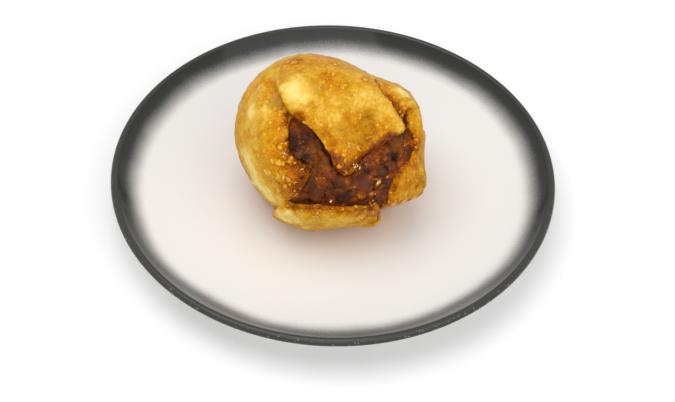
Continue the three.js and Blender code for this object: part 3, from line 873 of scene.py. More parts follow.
# %% Fine dabs
FINE_DABS = [
    (-27.4, 9.7, 2.8, 0.14), (-21.5, 9.7, 2.4, 0.22, 0.7), (-26.7, 4.6, 2.2, 0.32, 0.6),
    (-20.4, 3.4, 2.2, 0.48, 0.7), (-17.5, -0.6, 2, 0.66), (-15.9, 5.3, 1.6, 0.68),
    (-18.2, -15.3, 2.2, 0.6), (-20.6, -10, 2.2, 0.56, 0.7), (-32.5, 4.1, 2.4, 0.4, 0.6),
    (-13.6, 17.6, 3.2, 0.02, 0.85), (-10.8, 14.6, 2.8, 0.06), (-8.6, 11.4, 1.7, 0.3, 0.7),
    (-10.6, 9.1, 1.7, 0.68, 0.9), (-6.9, 7.4, 1.6, 0.5, 0.7), (-2, 22.2, 2.8, 0.56),
    (4.2, 18.6, 2.2, 0.58), (-3.2, 16.4, 1.8, 0.56, 0.7), (1, 14, 2, 0.3, 0.7),
    (9.1, 17, 2.4, 0.26), (12.7, 15.6, 2.2, 0.3, 0.7), (16.9, 12.3, 2.6, 0.24),
    (20.8, 7.2, 2.4, 0.3), (24, 5.8, 1.5, 0.2, 0.9), (-4.2, 6.2, 1.4, 0.26, 0.7),
    (-2.4, 8.5, 1.4, 0.2, 0.7), (-3.2, 3, 1.6, 0.62), (0.2, 0.2, 2.6, 0.74, 0.9),
    (6.4, -1.8, 2.2, 0.48, 0.7), (6.4, 8.4, 2.6, 0.54), (8.4, 5, 2.2, 0.5, 0.7),
    (-6.8, 17, 2, 0.4, 0.6), (10, -2.2, 1.8, 0.46, 0.6), (12.9, 9, 2.4, 0.58),
    (14, 5.4, 2.2, 0.6, 0.7), (11.8, 1.7, 2, 0.6), (4, 4.6, 2, 0.44, 0.6),
    (12.2, 21.4, 1.8, 0.54, 0.7), (8.6, 22.6, 2, 0.36, 0.6), (-0.6, 25, 1.8, 0.4, 0.6),
    (1.5, -3.1, 1.6, 0.76), (2.1, -5.8, 1.8, 0.86, 0.9), (6.2, -6.6, 1.6, 0.7),
    (7.4, -4.4, 1.3, 0.5, 0.7), (16.5, -1.8, 2, 0.84, 0.9), (-13.5, 28.5, 2.2, 0.6, 0.7),
    (-9.4, 25, 2, 0.42, 0.6), (24.6, 17.6, 2.8, 0.04, 0.9), (21.2, 17.3, 1.5, 0.46),
    (18.3, 18.9, 1.5, 0.56), (15.9, 20.7, 1.8, 0.56), (24.9, 14.2, 1.2, 0.22, 0.7),
    (29.4, 12, 1.6, 0.34, 0.7), (28.4, 3, 1.8, 0.72, 0.9), (28.2, 1.2, 1.4, 0.9, 0.9),
    (30.6, 4, 1.2, 0.44, 0.7), (22.6, -15.4, 2.2, 0.6, 0.7), (32, -7, 2, 0.48, 0.6),
    (20.4, -20.4, 1.6, 0.8), (34, -16.6, 0.8, 0.98, 0.9), (-16.2, -25, 2, 0.1),
    (-11.7, -25.9, 1.5, 0.16, 0.7), (-9.4, -28.2, 1.6, 0.3, 0.7), (-3.3, -26.5, 1.8, 0.42, 0.7),
    (11.6, -26, 1.4, 0.34, 0.7), (15.2, -21.4, 1.4, 0.76), (18.4, -24.4, 1, 0.5),
    (14.8, -27.6, 1.6, 0.52), (-20, -2.6, 1.6, 0.4, 0.6), (-23, 1, 1.8, 0.4, 0.6),
    (-14.8, -9, 1.6, 0.5, 0.6),
]
print(len(FINE_DABS), "fine dabs")

# %% Strokes along the flaps
MOUTH_LEFT = [(-13.8, 8.6), (-14.6, 5.0), (-14.4, 0.9), (-13.8, -3.6), (-11.6, -6.2), (-8.3, -7.5),
              (-6.2, -8.2)]
LEFT_FLAP_END = [(-6.2, -8.4), (-7.0, -11.6), (-9.2, -15.4), (-11.4, -18.2), (-13.2, -19.6)]
TOP_FLAP_LEFT = [(-12.6, 9.0), (-8.7, 6.7), (-5.0, 3.2), (-2.0, -1.4), (-0.4, -4.5), (0.8, -8.0)]
TOP_FLAP_TIP = [(0.8, -7.6), (3.1, -10.8), (6.4, -12.2), (9.2, -9.9), (10.5, -6.2)]
TOP_FLAP_END = [(10.7, -6.0), (14.2, -2.9), (17.8, -1.5), (20.3, 0.6)]
TOP_FLAP_CORNER = [(20.6, 2.4), (23.0, 3.8), (25.2, 5.2)]
LIP_EDGE = [(-13.4, -21.6), (-7.9, -22.2), (-1.1, -22.4), (5.8, -22.7), (12.7, -21.9),
            (16.6, -21.0)]
RIGHT_FLAP_EDGE = [(28.8, 1.4), (28.8, -3.2), (25.8, -7.0), (23.2, -10.7), (21.2, -15.4),
                   (19.8, -20.1)]
RIGHT_FLAP_CREST = [(31.4, -3.4), (29.0, -6.8), (26.8, -10.2), (25.4, -13.4), (24.0, -16.6)]
RIGHT_FOLD_SHADE = [(19.5, 16.2), (21.6, 13.6), (23.4, 10.7), (25.0, 7.8)]
RIGHT_FOLD_CREST = [(17.5, 14.3), (20.3, 11.0), (22.8, 7.8), (24.2, 6.0)]
PALE_FOLD = [(-28.8, -6.4), (-27.2, -10.4), (-25.2, -14.0), (-22.8, -17.0), (-19.8, -20.0)]
# Strokes: course, radius in millimetres, the bake to reach, and firmness.
FLAP_STROKES = [
    (PALE_FOLD, 2.2, 0.02, 0.9),
    (MOUTH_LEFT, 2.2, 0.7, 0.85), (MOUTH_LEFT, 1.1, 0.94, 0.9),
    (LEFT_FLAP_END, 3.2, 0.76, 0.85), (LEFT_FLAP_END, 0.8, 0.8, 0.8),
    (TOP_FLAP_LEFT, 1.2, 0.6, 0.7),
    (TOP_FLAP_TIP, 2.2, 0.8, 0.8), (TOP_FLAP_TIP, 0.8, 0.88, 0.9),
    (TOP_FLAP_END, 2.0, 0.74, 0.8), (TOP_FLAP_END, 0.8, 0.9, 0.9),
    (TOP_FLAP_CORNER, 0.6, 0.3, 0.6),
    (LIP_EDGE, 1.1, 0.78, 0.85),
    (RIGHT_FLAP_EDGE, 1.8, 0.78, 0.85),
    (RIGHT_HEM, 0.6, 0.7, 0.9), (RIGHT_FLAP_CREST, 1.3, 0.44, 0.6),
    (RIGHT_FOLD_SHADE, 1.5, 0.76, 0.85), (RIGHT_FOLD_CREST, 0.9, 0.24, 0.8),
    (CORNER_FOLD, 0.7, 0.66, 0.7),
]
print(len(FLAP_STROKES), "strokes")

# %% Touches
TOUCHES = [
    (-16.4, -21.6, 2, 0.3, 0.9), (-17.2, -19.2, 1.8, 0.22), (-18.2, -15.2, 1.8, 0.44),
    (-13.5, -19.7, 1.2, 0.68, 0.7), (-11.2, 8.4, 2, 0.92, 1), (-14.9, 1, 1.2, 1, 1),
    (-9.9, -13.2, 2, 0.88), (-11, -15.4, 2.2, 0.92, 0.9), (-13.4, -6, 1.4, 0.74),
    (-13.6, -12.6, 1.2, 0.7), (-17.5, -0.6, 1.4, 0.66), (-21.1, -10.7, 1, 0.16, 0.9),
    (-13.2, 27.8, 3.2, 0.72), (-6.6, 11, 1.3, 0.54, 0.7), (-4.9, 21.1, 1.8, 0.54, 0.7),
    (2.8, 11.1, 2.2, 0.24, 0.7), (6.8, 13.2, 2.2, 0.24, 0.7), (-3.4, 15.2, 1.8, 0.42, 0.6),
    (10.3, 8.4, 2, 0.64), (12.8, 1.8, 2, 0.82, 0.9), (8.2, 5.6, 1.8, 0.62, 0.7),
    (9.2, 1, 1.6, 0.62, 0.7), (10, -2.2, 1.6, 0.68, 0.7), (5, -8, 1.8, 0.8), (6.2, -6.6, 1, 0.7),
    (5.9, -9.4, 1.2, 0.88), (13.2, 11, 1.2, 0.44, 0.7), (21, 2.8, 1.8, 0.88, 0.9),
    (29, -1.6, 1.6, 0.8, 0.9), (23.4, -10.3, 1.4, 0.82), (21.6, -13.6, 1.2, 0.7),
    (20.2, -18, 1.4, 0.62), (25.6, -6.6, 1.2, 0.76), (15.9, 20.9, 1.4, 0.5),
    (26.8, 13.4, 1.6, 0.2, 0.9), (28.6, 14, 1.4, 0.3), (18, -22.6, 1.5, 0.92, 0.9),
    (25.4, 8, 1, 0.92, 0.9), (-14.2, 7.4, 1.6, 0.34, 0.9), (-15.6, 10, 1.4, 0.4, 0.9),
    (-2.4, 3, 2, 0.68, 0.7), (-25.2, -7.4, 1.8, 0.36, 0.7), (-19.6, 12.4, 2.6, 0.46, 0.7),
    (-18, 9.4, 1.6, 0.54), (-22.2, 15.8, 1.8, 0.48, 0.7), (-16.6, 13.6, 1, 0.46, 0.7),
    (14.6, -28.6, 1.4, 0.4), (16.9, -25.5, 1.2, 0.5, 0.9), (17.3, -28.2, 1.4, 0.2, 0.9),
    (17.6, -23.2, 0.8, 0.86), (9.2, -8.4, 0.8, 0.1, 0.9), (23.8, 6.4, 1.2, 0.3, 0.9),
    (24.6, 4.8, 0.8, 0.66, 0.9), (21.6, 12.9, 1, 0.5), (28, 8, 1.4, 0.5, 0.6),
    (16.9, 12.3, 1.8, 0.42), (-12.6, -6.4, 1.2, 0.78), (21.2, 17.3, 1.2, 0.36, 0.7),
    (28.4, 2.3, 1.2, 0.86, 0.9), (3.6, -23.6, 1.6, 0.76, 0.7), (10.6, -24, 1.6, 0.68, 0.7),
    (15.1, -21.2, 1.2, 0.66), (-15.9, -25.2, 1.8, 0.02, 0.9), (-11.7, -25.9, 1.6, 0.1),
    (-9.8, -27.8, 1.6, 0.24), (-8, -30.4, 2.4, 0.18), (-3.3, -26.5, 1.8, 0.34),
    (-6.6, -8.2, 1, 0.78, 0.7), (9.2, -28.1, 1.2, 0.66, 0.7), (26, -20, 1, 0.26, 0.9),
    (23.1, -20.9, 1, 0.26, 0.9), (30.4, -18.8, 1, 0.3, 0.9), (28.9, -14, 1.6, 0.44, 0.7),
    (-16.4, -10.1, 1.4, 0.44, 0.7), (3.2, -8.3, 0.7, 0.5, 0.9), (-13.3, -24.4, 1.4, 0.18),
    (-9.8, -25.3, 1.4, 0.28), (0.7, -28.7, 1.8, 0.28), (4.1, -27.4, 1.4, 0.46),
    (-9.8, -27.8, 1.4, 0.08), (-18.2, -15.3, 1.4, 0.32), (-9.9, -15.3, 1.1, 0.97, 0.9),
    (-13.6, -12.7, 1, 0.78), (-13.3, -5.8, 1, 0.84), (-13.1, 27.1, 1.4, 0.86),
    (-10.6, 9.1, 1, 0.8), (-8.2, -7.9, 1, 0.76), (26, -19.8, 1, 0.02, 0.9),
    (30.4, -18.5, 1, 0.02, 0.9), (28.4, 2.3, 1, 0.96, 0.9), (17.6, -23.2, 1, 0.9, 0.9),
    (21.6, 12.9, 1, 0.34, 0.9), (26.7, 13.4, 1, 0.56, 0.9), (25.4, 8.2, 0.9, 0.82, 0.9),
    (-12.2, 8.9, 0.9, 0.88), (-26.3, -15.8, 2, 0, 0.9), (-14.8, 9.9, 1, 0.5),
    (26.4, 16.6, 2, 0, 0.9), (-24.9, -15.2, 2.2, -0.06, 0.9), (-20.4, -20.4, 2.2, 0.04, 0.9),
    (-15.1, -27.2, 2.6, -0.06, 0.95), (-14, -24.8, 1.6, 0.04, 0.9), (-8.6, -8, 1, 0.74, 0.9),
    (31.8, -7.4, 1.6, 0.36, 0.7), (5, 9.4, 2, 0.58, 0.6),
]
print(len(TOUCHES), "touches")

# %% [markdown]
# Four more fields mark what the bake can't say. Olive marks the glassy places over the filling,
# milky the dull, pinkish ones, soaked the places brown with meat juice, and wet the ones where the
# oil stands thickest. The milky field also paints a pinkish sheen along the outline, where the
# skin turns away from the viewer.

# %% Olive, milky and sheen, soaked and wet places
# Dabs as before, but as firm as can be where no firmness is given.
OLIVE_DABS = [
    (11.6, 8.6, 4.6, 0.56), (13.6, 4.6, 3.6, 0.5), (11.6, 1.2, 3.4, 0.6), (4.6, 4.2, 4.2, 0.52),
    (7, 12, 5, 0.3, 0.9), (-10, 24.6, 2.2, 0.5), (-3.9, 18, 2.6, 0.45), (-20, 12.4, 3.2, 0.5),
    (-22.4, 16, 2.4, 0.4), (2, 20, 5, 0.22, 0.9), (-28.1, 3.7, 1, 0.9),
    (-26.4, 5.4, 2.2, 0.4, 0.8), (-15.6, 9.9, 1.5, 0.9), (-20.9, 19.1, 1.5, 0.5),
    (-17.8, 14, 1.2, 0.6, 0.8), (-12.6, -21.1, 1.6, 1), (-9.8, -27.8, 1.4, 0.2),
    (-3.3, -26.5, 2, 0.6), (15, -28, 1.6, 0.6), (8, -1, 2.4, 0.6), (22.6, 0.6, 2.4, 1),
    (-19.6, 12.6, 2.2, 0.75), (-19, 15.8, 1.2, 1.1), (-17.9, 14.2, 1.1, 1.1),
    (-16.8, 12.6, 1.1, 1), (-15.8, 11.3, 1, 1), (-18, 9.9, 1.4, 0.6), (-1.6, -26.6, 3.4, 0.1, 0.9),
]
# Milky dough in the valley and along the hems, and a painted sheen along the outline at the top,
# left and right.
MILKY_AND_SHEEN_DABS = [
    (-18.6, 16.6, 1.6, 0.9), (-18, 13, 1.3, 0.8), (-16.2, 10.8, 1, 0.6), (-5.2, 30.4, 3.4, 0.6),
    (4.3, 28.2, 3, 0.7), (11.3, 23.6, 2.6, 0.7), (14.6, 21.2, 1.6, 0.8), (-14, 29.6, 2.4, 0.5),
    (-30.4, -8.9, 2.4, 0.5), (-32, 12, 3, 0.5, 0.9), (-28, 19, 3, 0.4, 0.9), (15.2, -23.8, 1, 1),
    (-13.6, -12.7, 1, 0.8), (-13.3, -5.8, 1, 0.8), (23.1, -20.6, 1.4, 1), (26.7, -19.7, 1.4, 0.9),
    (30.4, -18.6, 1.4, 0.9), (-19.2, 15.4, 1.6, 0.7), (-20, 12.4, 3, 0.35), (-4.2, 18.4, 2, 0.4),
    (17.3, -28.2, 1.2, 0.8), (24.6, 17.5, 2.6, 0.3), (34, -12, 2, 0.3),
]
SOAKED_DABS = [
    (0, -4.2, 1.5, 0.9), (1.8, -5.4, 1.6, 0.9), (0.7, -8.2, 1.5, 1), (3.6, -10.2, 1.6, 1),
    (6.8, -11.6, 1.5, 0.9), (9.8, -9.6, 1.3, 0.9), (4.8, -7.4, 1.2, 0.5), (2.8, -7.8, 1, 0),
    (7.4, -7.4, 1.4, 0.1, 0.8), (22.4, 3, 1.4, 0.6), (17.8, -23, 1, 0.9), (-11.6, 9, 1.1, 0.6),
    (-7, -8.6, 1, 0), (-10, -15, 1.6, 0.75), (3.3, -8.3, 0.9, 0), (9.2, -8.3, 1, 0),
]
WET_DABS = [
    (16.5, -2.5, 2.4, 1), (4, -7, 3, 0.8), (12.1, -25.8, 1.3, 1), (15.4, -21, 1.8, 1),
    (28, 0.5, 1.8, 0.9), (-12, -17, 2.4, 0.6), (22.6, 0.6, 2.4, 1),
]
# How far juice soaked in along the top flap's right edge, in millimetres.
SOAKED_EDGE = 1.7
print(len(OLIVE_DABS), "olive,", len(MILKY_AND_SHEEN_DABS), "milky,", len(SOAKED_DABS), "soaked,",
      len(WET_DABS), "wet")

# %% Bake
RAW_BAKE = 0.45
USUAL_FIRMNESS = 0.8
BAKE_PATCHES = 0.09
# Places further back than the open face, towards the outline and the back, are made a little
# darker.
BACK_DARKENING = 0.06
BACK_DEPTH = 9
# Painted shade in the creases.
CREASE_SHADE = 0.4
# Painted light and shade: a little lighter where the skin stands out, darker in its hollows.
CREST_SHADING = -0.03
CREST_ROUNDS = 14
CREST_STEEPNESS = 2.2


def store(mesh, name, values):
    """A number for each vertex, kept on the mesh under a name."""
    layer = mesh.attributes.new(name, "FLOAT", "POINT")
    layer.data.foreach_set("value", np.asarray(values, dtype=np.float32))


brushed = pushed_about(skin_places, 3.4 * MM, 1.1 * MM, 3.0)
stroked = pushed_about(skin_places, 1.8 * MM, 0.5 * MM, 6.0)
bake = np.full(len(skin_places), RAW_BAKE)
bake = dab(bake, brushed, wrapper_skin, BROAD_DABS + FINE_DABS, USUAL_FIRMNESS)
bake = stroke(bake, stroked, wrapper_skin, FLAP_STROKES)
bake = dab(bake, brushed, wrapper_skin, TOUCHES, USUAL_FIRMNESS)
height_out = (skin_places - np.array(BALL_CENTRE)) @ np.array(OUTWARD) / MM
crest = standing_out(wrapper_shape, CREST_ROUNDS) / MM
bake += BAKE_PATCHES * fractal(skin_places, 4 * MM, 4, 12.0)
bake += BACK_DARKENING * np.clip((BACK_DEPTH - height_out) / BACK_DEPTH, 0, 1) + CREASE_SHADE * creases
bake += CREST_SHADING * np.clip(crest * CREST_STEEPNESS, -1, 1)
soaked_edge = stroke(np.zeros(len(skin_places)), brushed, wrapper_skin,
                     [(TOP_FLAP_END, SOAKED_EDGE, 1, 1)])
frying = {
    "bake": bake,
    "olive": painted(brushed, wrapper_skin, OLIVE_DABS),
    "milky_and_sheen": painted(brushed, wrapper_skin, MILKY_AND_SHEEN_DABS),
    "soaked": dab(soaked_edge, brushed, wrapper_skin, SOAKED_DABS, 1),
    "wet": painted(brushed, wrapper_skin, WET_DABS),
    "blister": np.clip(blistered, 0, 1),
}
print("bake from", round(bake.min(), 2), "to", round(bake.max(), 2))

# %% [markdown]
# ## Fried dough
# One colour ramp turns the bake into dough, from raw cream over gold and amber to char, so all
# neighbouring tones flow into each other as they do in the pan. Fine noise and blisters shift
# the bake before the ramp: a blister has a pale top and a browned ring. Oil lies on the dough
# in an uneven film, and a little light goes through the sheet.

# %% Dough colour
BAKE_TONES = [
    (0, (255, 234, 154)), (0.16, (250, 214, 112)), (0.32, (230, 182, 64)), (0.46, (214, 154, 24)),
    (0.6, (204, 128, 4)), (0.72, (172, 94, 2)), (0.84, (126, 58, 2)), (0.93, (88, 36, 2)),
    (1, (54, 22, 4)),
]
OLIVE = tone(156, 116, 12)
# Milky dough, which is also the colour of the painted sheen along the outline.
MILKY_AND_SHEEN = tone(204, 160, 116)
MEAT_JUICE = tone(96, 46, 26)
RUST = tone(158, 78, 16)
SPECK = tone(60, 34, 12)
DOUGH_SWING = 0.36
DOME_HEIGHT = 0.8
RING_BAKE = 0.1
TOP_BAKE = -0.24
SOAKED_RAGGED = 1.6
SPECK_STRENGTH = 0.7


def read(tree, name):
    """A stored number as a shader value."""
    return add_node(tree, "ShaderNodeAttribute", attribute_name=name).outputs["Fac"]


def ramp(tree, value, tones):
    """A colour ramp with a stop for each (place, colour as seen)."""
    node = add_node(tree, "ShaderNodeValToRGB", {0: value})
    stops = node.color_ramp.elements
    while len(stops) < len(tones):
        stops.new(0.5)
    for stop, (place, colour) in zip(stops, tones):
        stop.position = place
        stop.color = tone(*colour)
    return node.outputs[0]


def blistered_bake(tree, uneven, grain, spots):
    """The bake with its noise, and with the rings and tops of blisters: (bake, tops)."""
    bake_here = calc(tree, "ADD", read(tree, "bake"), uneven)
    bake_here = calc(tree, "ADD", bake_here, swing(tree, grain, DOUGH_SWING))
    dome = calc(tree, "MAXIMUM", calc(tree, "MULTIPLY", spots, DOME_HEIGHT), read(tree, "blister"))
    ring = calc(tree, "MULTIPLY", rise(tree, dome, 0.02, 0.22), rise(tree, dome, 0.5, 0.25))
    top = rise(tree, dome, 0.4, 0.8)
    browned = rise(tree, bake_here, 0.3, 0.6)
    for mark, change in ((ring, RING_BAKE), (top, TOP_BAKE)):
        here = calc(tree, "MULTIPLY", mark, browned)
        bake_here = calc(tree, "MULTIPLY_ADD", here, change, bake_here)
    return bake_here, top


def dough_colour(tree, place, bake_here, uneven, fine):
    """The baked dough with its olive, milky and soaked places, the painted sheen at its outline,
    and its dark specks.
    """
    olive = calc(tree, "ADD", read(tree, "olive"), uneven)
    milky_and_sheen = calc(tree, "ADD", read(tree, "milky_and_sheen"), uneven)
    soaked = calc(tree, "MULTIPLY_ADD", uneven, SOAKED_RAGGED, read(tree, "soaked"))
    juice = blend(tree, rise(tree, fine, 0.42, 0.6), MEAT_JUICE, RUST)
    specks = use_group(tree, SPOTS, {"Vector": place, "Scale": 420, "Size": 0.16, "Share": 0.12})
    colour = ramp(tree, bake_here, BAKE_TONES)
    colour = blend(tree, rise(tree, olive, 0.1, 1.1, 0, 0.8), colour, OLIVE)
    colour = blend(tree, rise(tree, milky_and_sheen, 0.15, 1.1, 0, 0.75), colour, MILKY_AND_SHEEN)
    colour = blend(tree, rise(tree, soaked, 0.3, 0.75, 0, 0.92), colour, juice)
    speck = calc(tree, "MULTIPLY", specks.outputs["Mask"], SPECK_STRENGTH)
    return blend(tree, speck, colour, SPECK)


print("bake tones:", len(BAKE_TONES))

# %% Dough material
WET_SHINE = 0.16
TOP_SHINE = 0.1
DRY_ROUGHNESS = 0.45
OILED_ROUGHNESS = 0.3


def finish_food(tree, sockets, colour, roughness, coat, bump, plain):
    """Joins up a food's shader. plain holds what is the same all over the surface."""
    fill_sockets(tree, sockets, {
        "Base Color": colour, "Roughness": roughness, "Coat Weight": coat, "Coat Roughness": 0.1,
        "Normal": bump.outputs[0], "Coat Normal": bump.outputs[0], **plain})


def fried_dough():
    """Golden, blistered, oily dough, driven by the numbers on its vertices."""
    material, tree, sockets = new_material("fried_dough")
    place = object_place(tree)
    mottle = use_group(tree, MOTTLE, {"Vector": place, "Broad": 300, "Fine": 900}).outputs
    grain = use_group(tree, MOTTLE, {"Vector": place, "Fine": 1700}).outputs["Fine"]
    spots = use_group(tree, SPOTS, {"Vector": place, "Scale": 620, "Size": 0.42, "Share": 0.4})
    spots = spots.outputs["Mask"]
    fine = mottle["Fine"]
    uneven = calc(tree, "ADD", swing(tree, mottle["Broad"], DOUGH_SWING),
                  swing(tree, fine, DOUGH_SWING))
    bake_here, top = blistered_bake(tree, uneven, grain, spots)
    film = calc(tree, "ADD", calc(tree, "MULTIPLY", read(tree, "wet"), WET_SHINE),
                calc(tree, "MULTIPLY", top, TOP_SHINE))
    oily = rise(tree, calc(tree, "ADD", fine, film), 0.6, 0.72)
    roughness = calc(tree, "MULTIPLY_ADD", oily, OILED_ROUGHNESS - DRY_ROUGHNESS, DRY_ROUGHNESS)
    height = calc(tree, "MULTIPLY", fine, 0.6)
    height = calc(tree, "MULTIPLY_ADD", grain, 0.3, height)
    height = calc(tree, "MULTIPLY_ADD", spots, 0.6, height)
    bump = add_node(tree, "ShaderNodeBump", {
        "Strength": 0.5, "Distance": 0.4 * MM, "Height": height})
    finish_food(tree, sockets, dough_colour(tree, place, bake_here, uneven, fine), roughness, oily,
                bump, {"Specular IOR Level": 0.08, "Subsurface Weight": 0.2,
                       "Subsurface Radius": (1.0, 0.45, 0.12), "Subsurface Scale": 1.2 * MM})
    return material


wrapper = new_piece("wrapper_skin", wrapper_shape, "wrapper", fried_dough())
for label, values in frying.items():
    store(wrapper.data, label, values)
print("wrapper:", len(wrapper.data.polygons), "faces")

# %% [markdown]
# ## The browned mince
# In the mouth the mince shows as smooth dark lumps that meet the flaps, with amber juice and
# bits of onion and fat between them. The solid gives the heap. The lumps that show are balls
# let into it and melted together by the remesh, and a ridge of mince follows each flap's edge,
# so that no gap opens there. Cells of a Voronoi pattern give the crumb of the meat.

# %% Mince mesh
FILLING_VOXEL = 0.64 * MM
FILLING_FRONT = 0.2
# Lumps: across, up, radius and sink, in millimetres.
MEAT_LUMPS = [
    (12.4, -12.9, 3.5, 1.8), (9, -12.6, 2.4, 1.2), (2.8, -12.9, 2.6, 1.3), (-4.4, -17.4, 3.1, 1.7),
    (-6.2, -12.6, 2.6, 1.4), (4.8, -17.7, 2.7, 1.5), (17.7, -9, 2.6, 1.3), (19.2, -5.2, 2.2, 1),
    (14.6, -6.6, 2.2, 0.8), (11.8, -8.6, 1.9, 0.7), (11.2, -17.5, 1.7, 0.8),
    (-0.4, -15.6, 1.6, 0.8), (23.2, -3.8, 1.8, 0.8), (26, -1.6, 1.8, 0.8), (27.8, 0.6, 1.4, 0.6),
    (21.8, -7.6, 1.6, 0.6), (16.4, -16.6, 1.8, 0.9), (8, -19.4, 1.6, 0.7), (1, -19.6, 1.7, 0.8),
    (-8.6, -18.6, 1.4, 0.6), (16.8, -13, 0.8, 0.2), (-3, -8.4, 1.6, 0.5), (-1, -10.6, 1.5, 0.5),
    (-3.2, -12.6, 1.4, 0.5),
]
# Mince along the flaps' edges: course, radius and sink.
EDGE_MINCE = [
    ([(0, -9), (2.2, -12), (6.2, -13.6), (9.8, -11.2), (11.4, -7.4)], 1.7, 0.2),
    ([(11.6, -7), (14.6, -4), (17.8, -2.6), (20.3, -1.2)], 1.9, 0.1),
    ([(-5.2, -8.6), (-6, -11.6), (-8, -15.4), (-10.2, -18.2), (-12.8, -20.2)], 1.5, 0.5),
    ([(28.4, 0.6), (27.8, -3), (25, -6.8), (22.4, -10.4), (20.4, -15), (18.8, -19.4)], 1.4, 0.2),
    ([(-12.2, -20.8), (-6, -21.4), (0, -21.6), (6, -21.8), (12, -21.1), (16.4, -20.2)], 1.3, 0.4),
    ([(-12, -5), (-8, -6.4), (-5.4, -7)], 1.4, 0.6),
    ([(-11.6, 8), (-8.2, 5), (-5.2, 1.4), (-2.8, -2.8), (-1.4, -6)], 1.3, 0.4),
    ([(-3, -3.4), (-1.4, -6.2), (-0.2, -9.4)], 1.5, -0.4),
]
# Places that stay smooth: glassy dough and the skins of the large lumps.
SMOOTH_DABS = [
    (12.2, -13, 3, 0.95), (22.8, 0.6, 3.2, 1), (18.8, -16.4, 2.2, 0.9), (-9.6, 2.4, 5, 0.85),
    (-6.6, -12.6, 2.8, 0.95), (2.8, -12.9, 2.3, 0.9), (-4.8, -17.4, 3, 0.9), (17.7, -9, 2, 0.8),
    (20.6, -12.6, 1.8, 0.9), (5.4, -17.6, 1.6, 0.7), (-9.6, -18.6, 2, 0.7),
]
PEBBLE_RADIUS = 0.85


def pebble_field(places, size, seed):
    """Rounded lumps side by side, 0 in the gaps and 1 on top, with a number for each."""
    near, chance = cell_field(places, size, seed)
    return np.sqrt(np.clip(1 - (near / PEBBLE_RADIUS) ** 2, 0, 1)), chance


def mince_lumps(shape):
    """The lumps that show, and the mince along the edges of the flaps."""
    skin = solid_skin("filling")
    add_lumps(shape, skin, MEAT_LUMPS)
    for course, radius, sink in EDGE_MINCE:
        add_ridge(shape, skin, course, radius, sink)


filling_shape = fine_copy("filling", FILLING_VOXEL, SMOOTHING_ROUNDS, mince_lumps)
filling_front = refine_front(filling_shape, FILLING_FRONT)
filling_skin = BVHTree.FromBMesh(filling_shape)
print("mince:", len(filling_shape.verts), "vertices,", filling_front, "front faces halved")

# %% Mince relief
LUMP_HEIGHT = 0.5
GRAIN_HEIGHT = 0.2
MINCE_SINK = 0.4
RAGGED_HEIGHT = 0.14
mince_places = vertex_places(filling_shape)
lumps, lump_chance = pebble_field(mince_places, 3.6 * MM, 3.0)
grains, grain_chance = pebble_field(mince_places, 1.4 * MM, 6.0)
smooth_meat = painted(mince_places, filling_skin, SMOOTH_DABS)
ragged = fractal(mince_places, 1.2 * MM, 3, 1.0)
mince_height = LUMP_HEIGHT * lumps + GRAIN_HEIGHT * grains - MINCE_SINK + RAGGED_HEIGHT * ragged
shift_along_normals(filling_shape, (1 - smooth_meat) * mince_height * MM)
print("mince relief from", round(mince_height.min(), 2), "to", round(mince_height.max(), 2), "mm")

# %% [markdown]
# The mince's colour is brushed on in the same way. One number runs from burnt over brown and rust
# to the amber of juice and the yellow of fat. A second one turns meat grey-purple, as the smooth
# lumps are, and a third one shows glassy dough stretched over it.
# The first number is also pulled down in the gaps between lumps and grains, which is painted
# shade.

# %% Mince colour
MEAT_TINT = 0.48
LUMP_TINTS = 0.12
GRAIN_TINTS = 0.1
PATCH_TINTS = 0.08
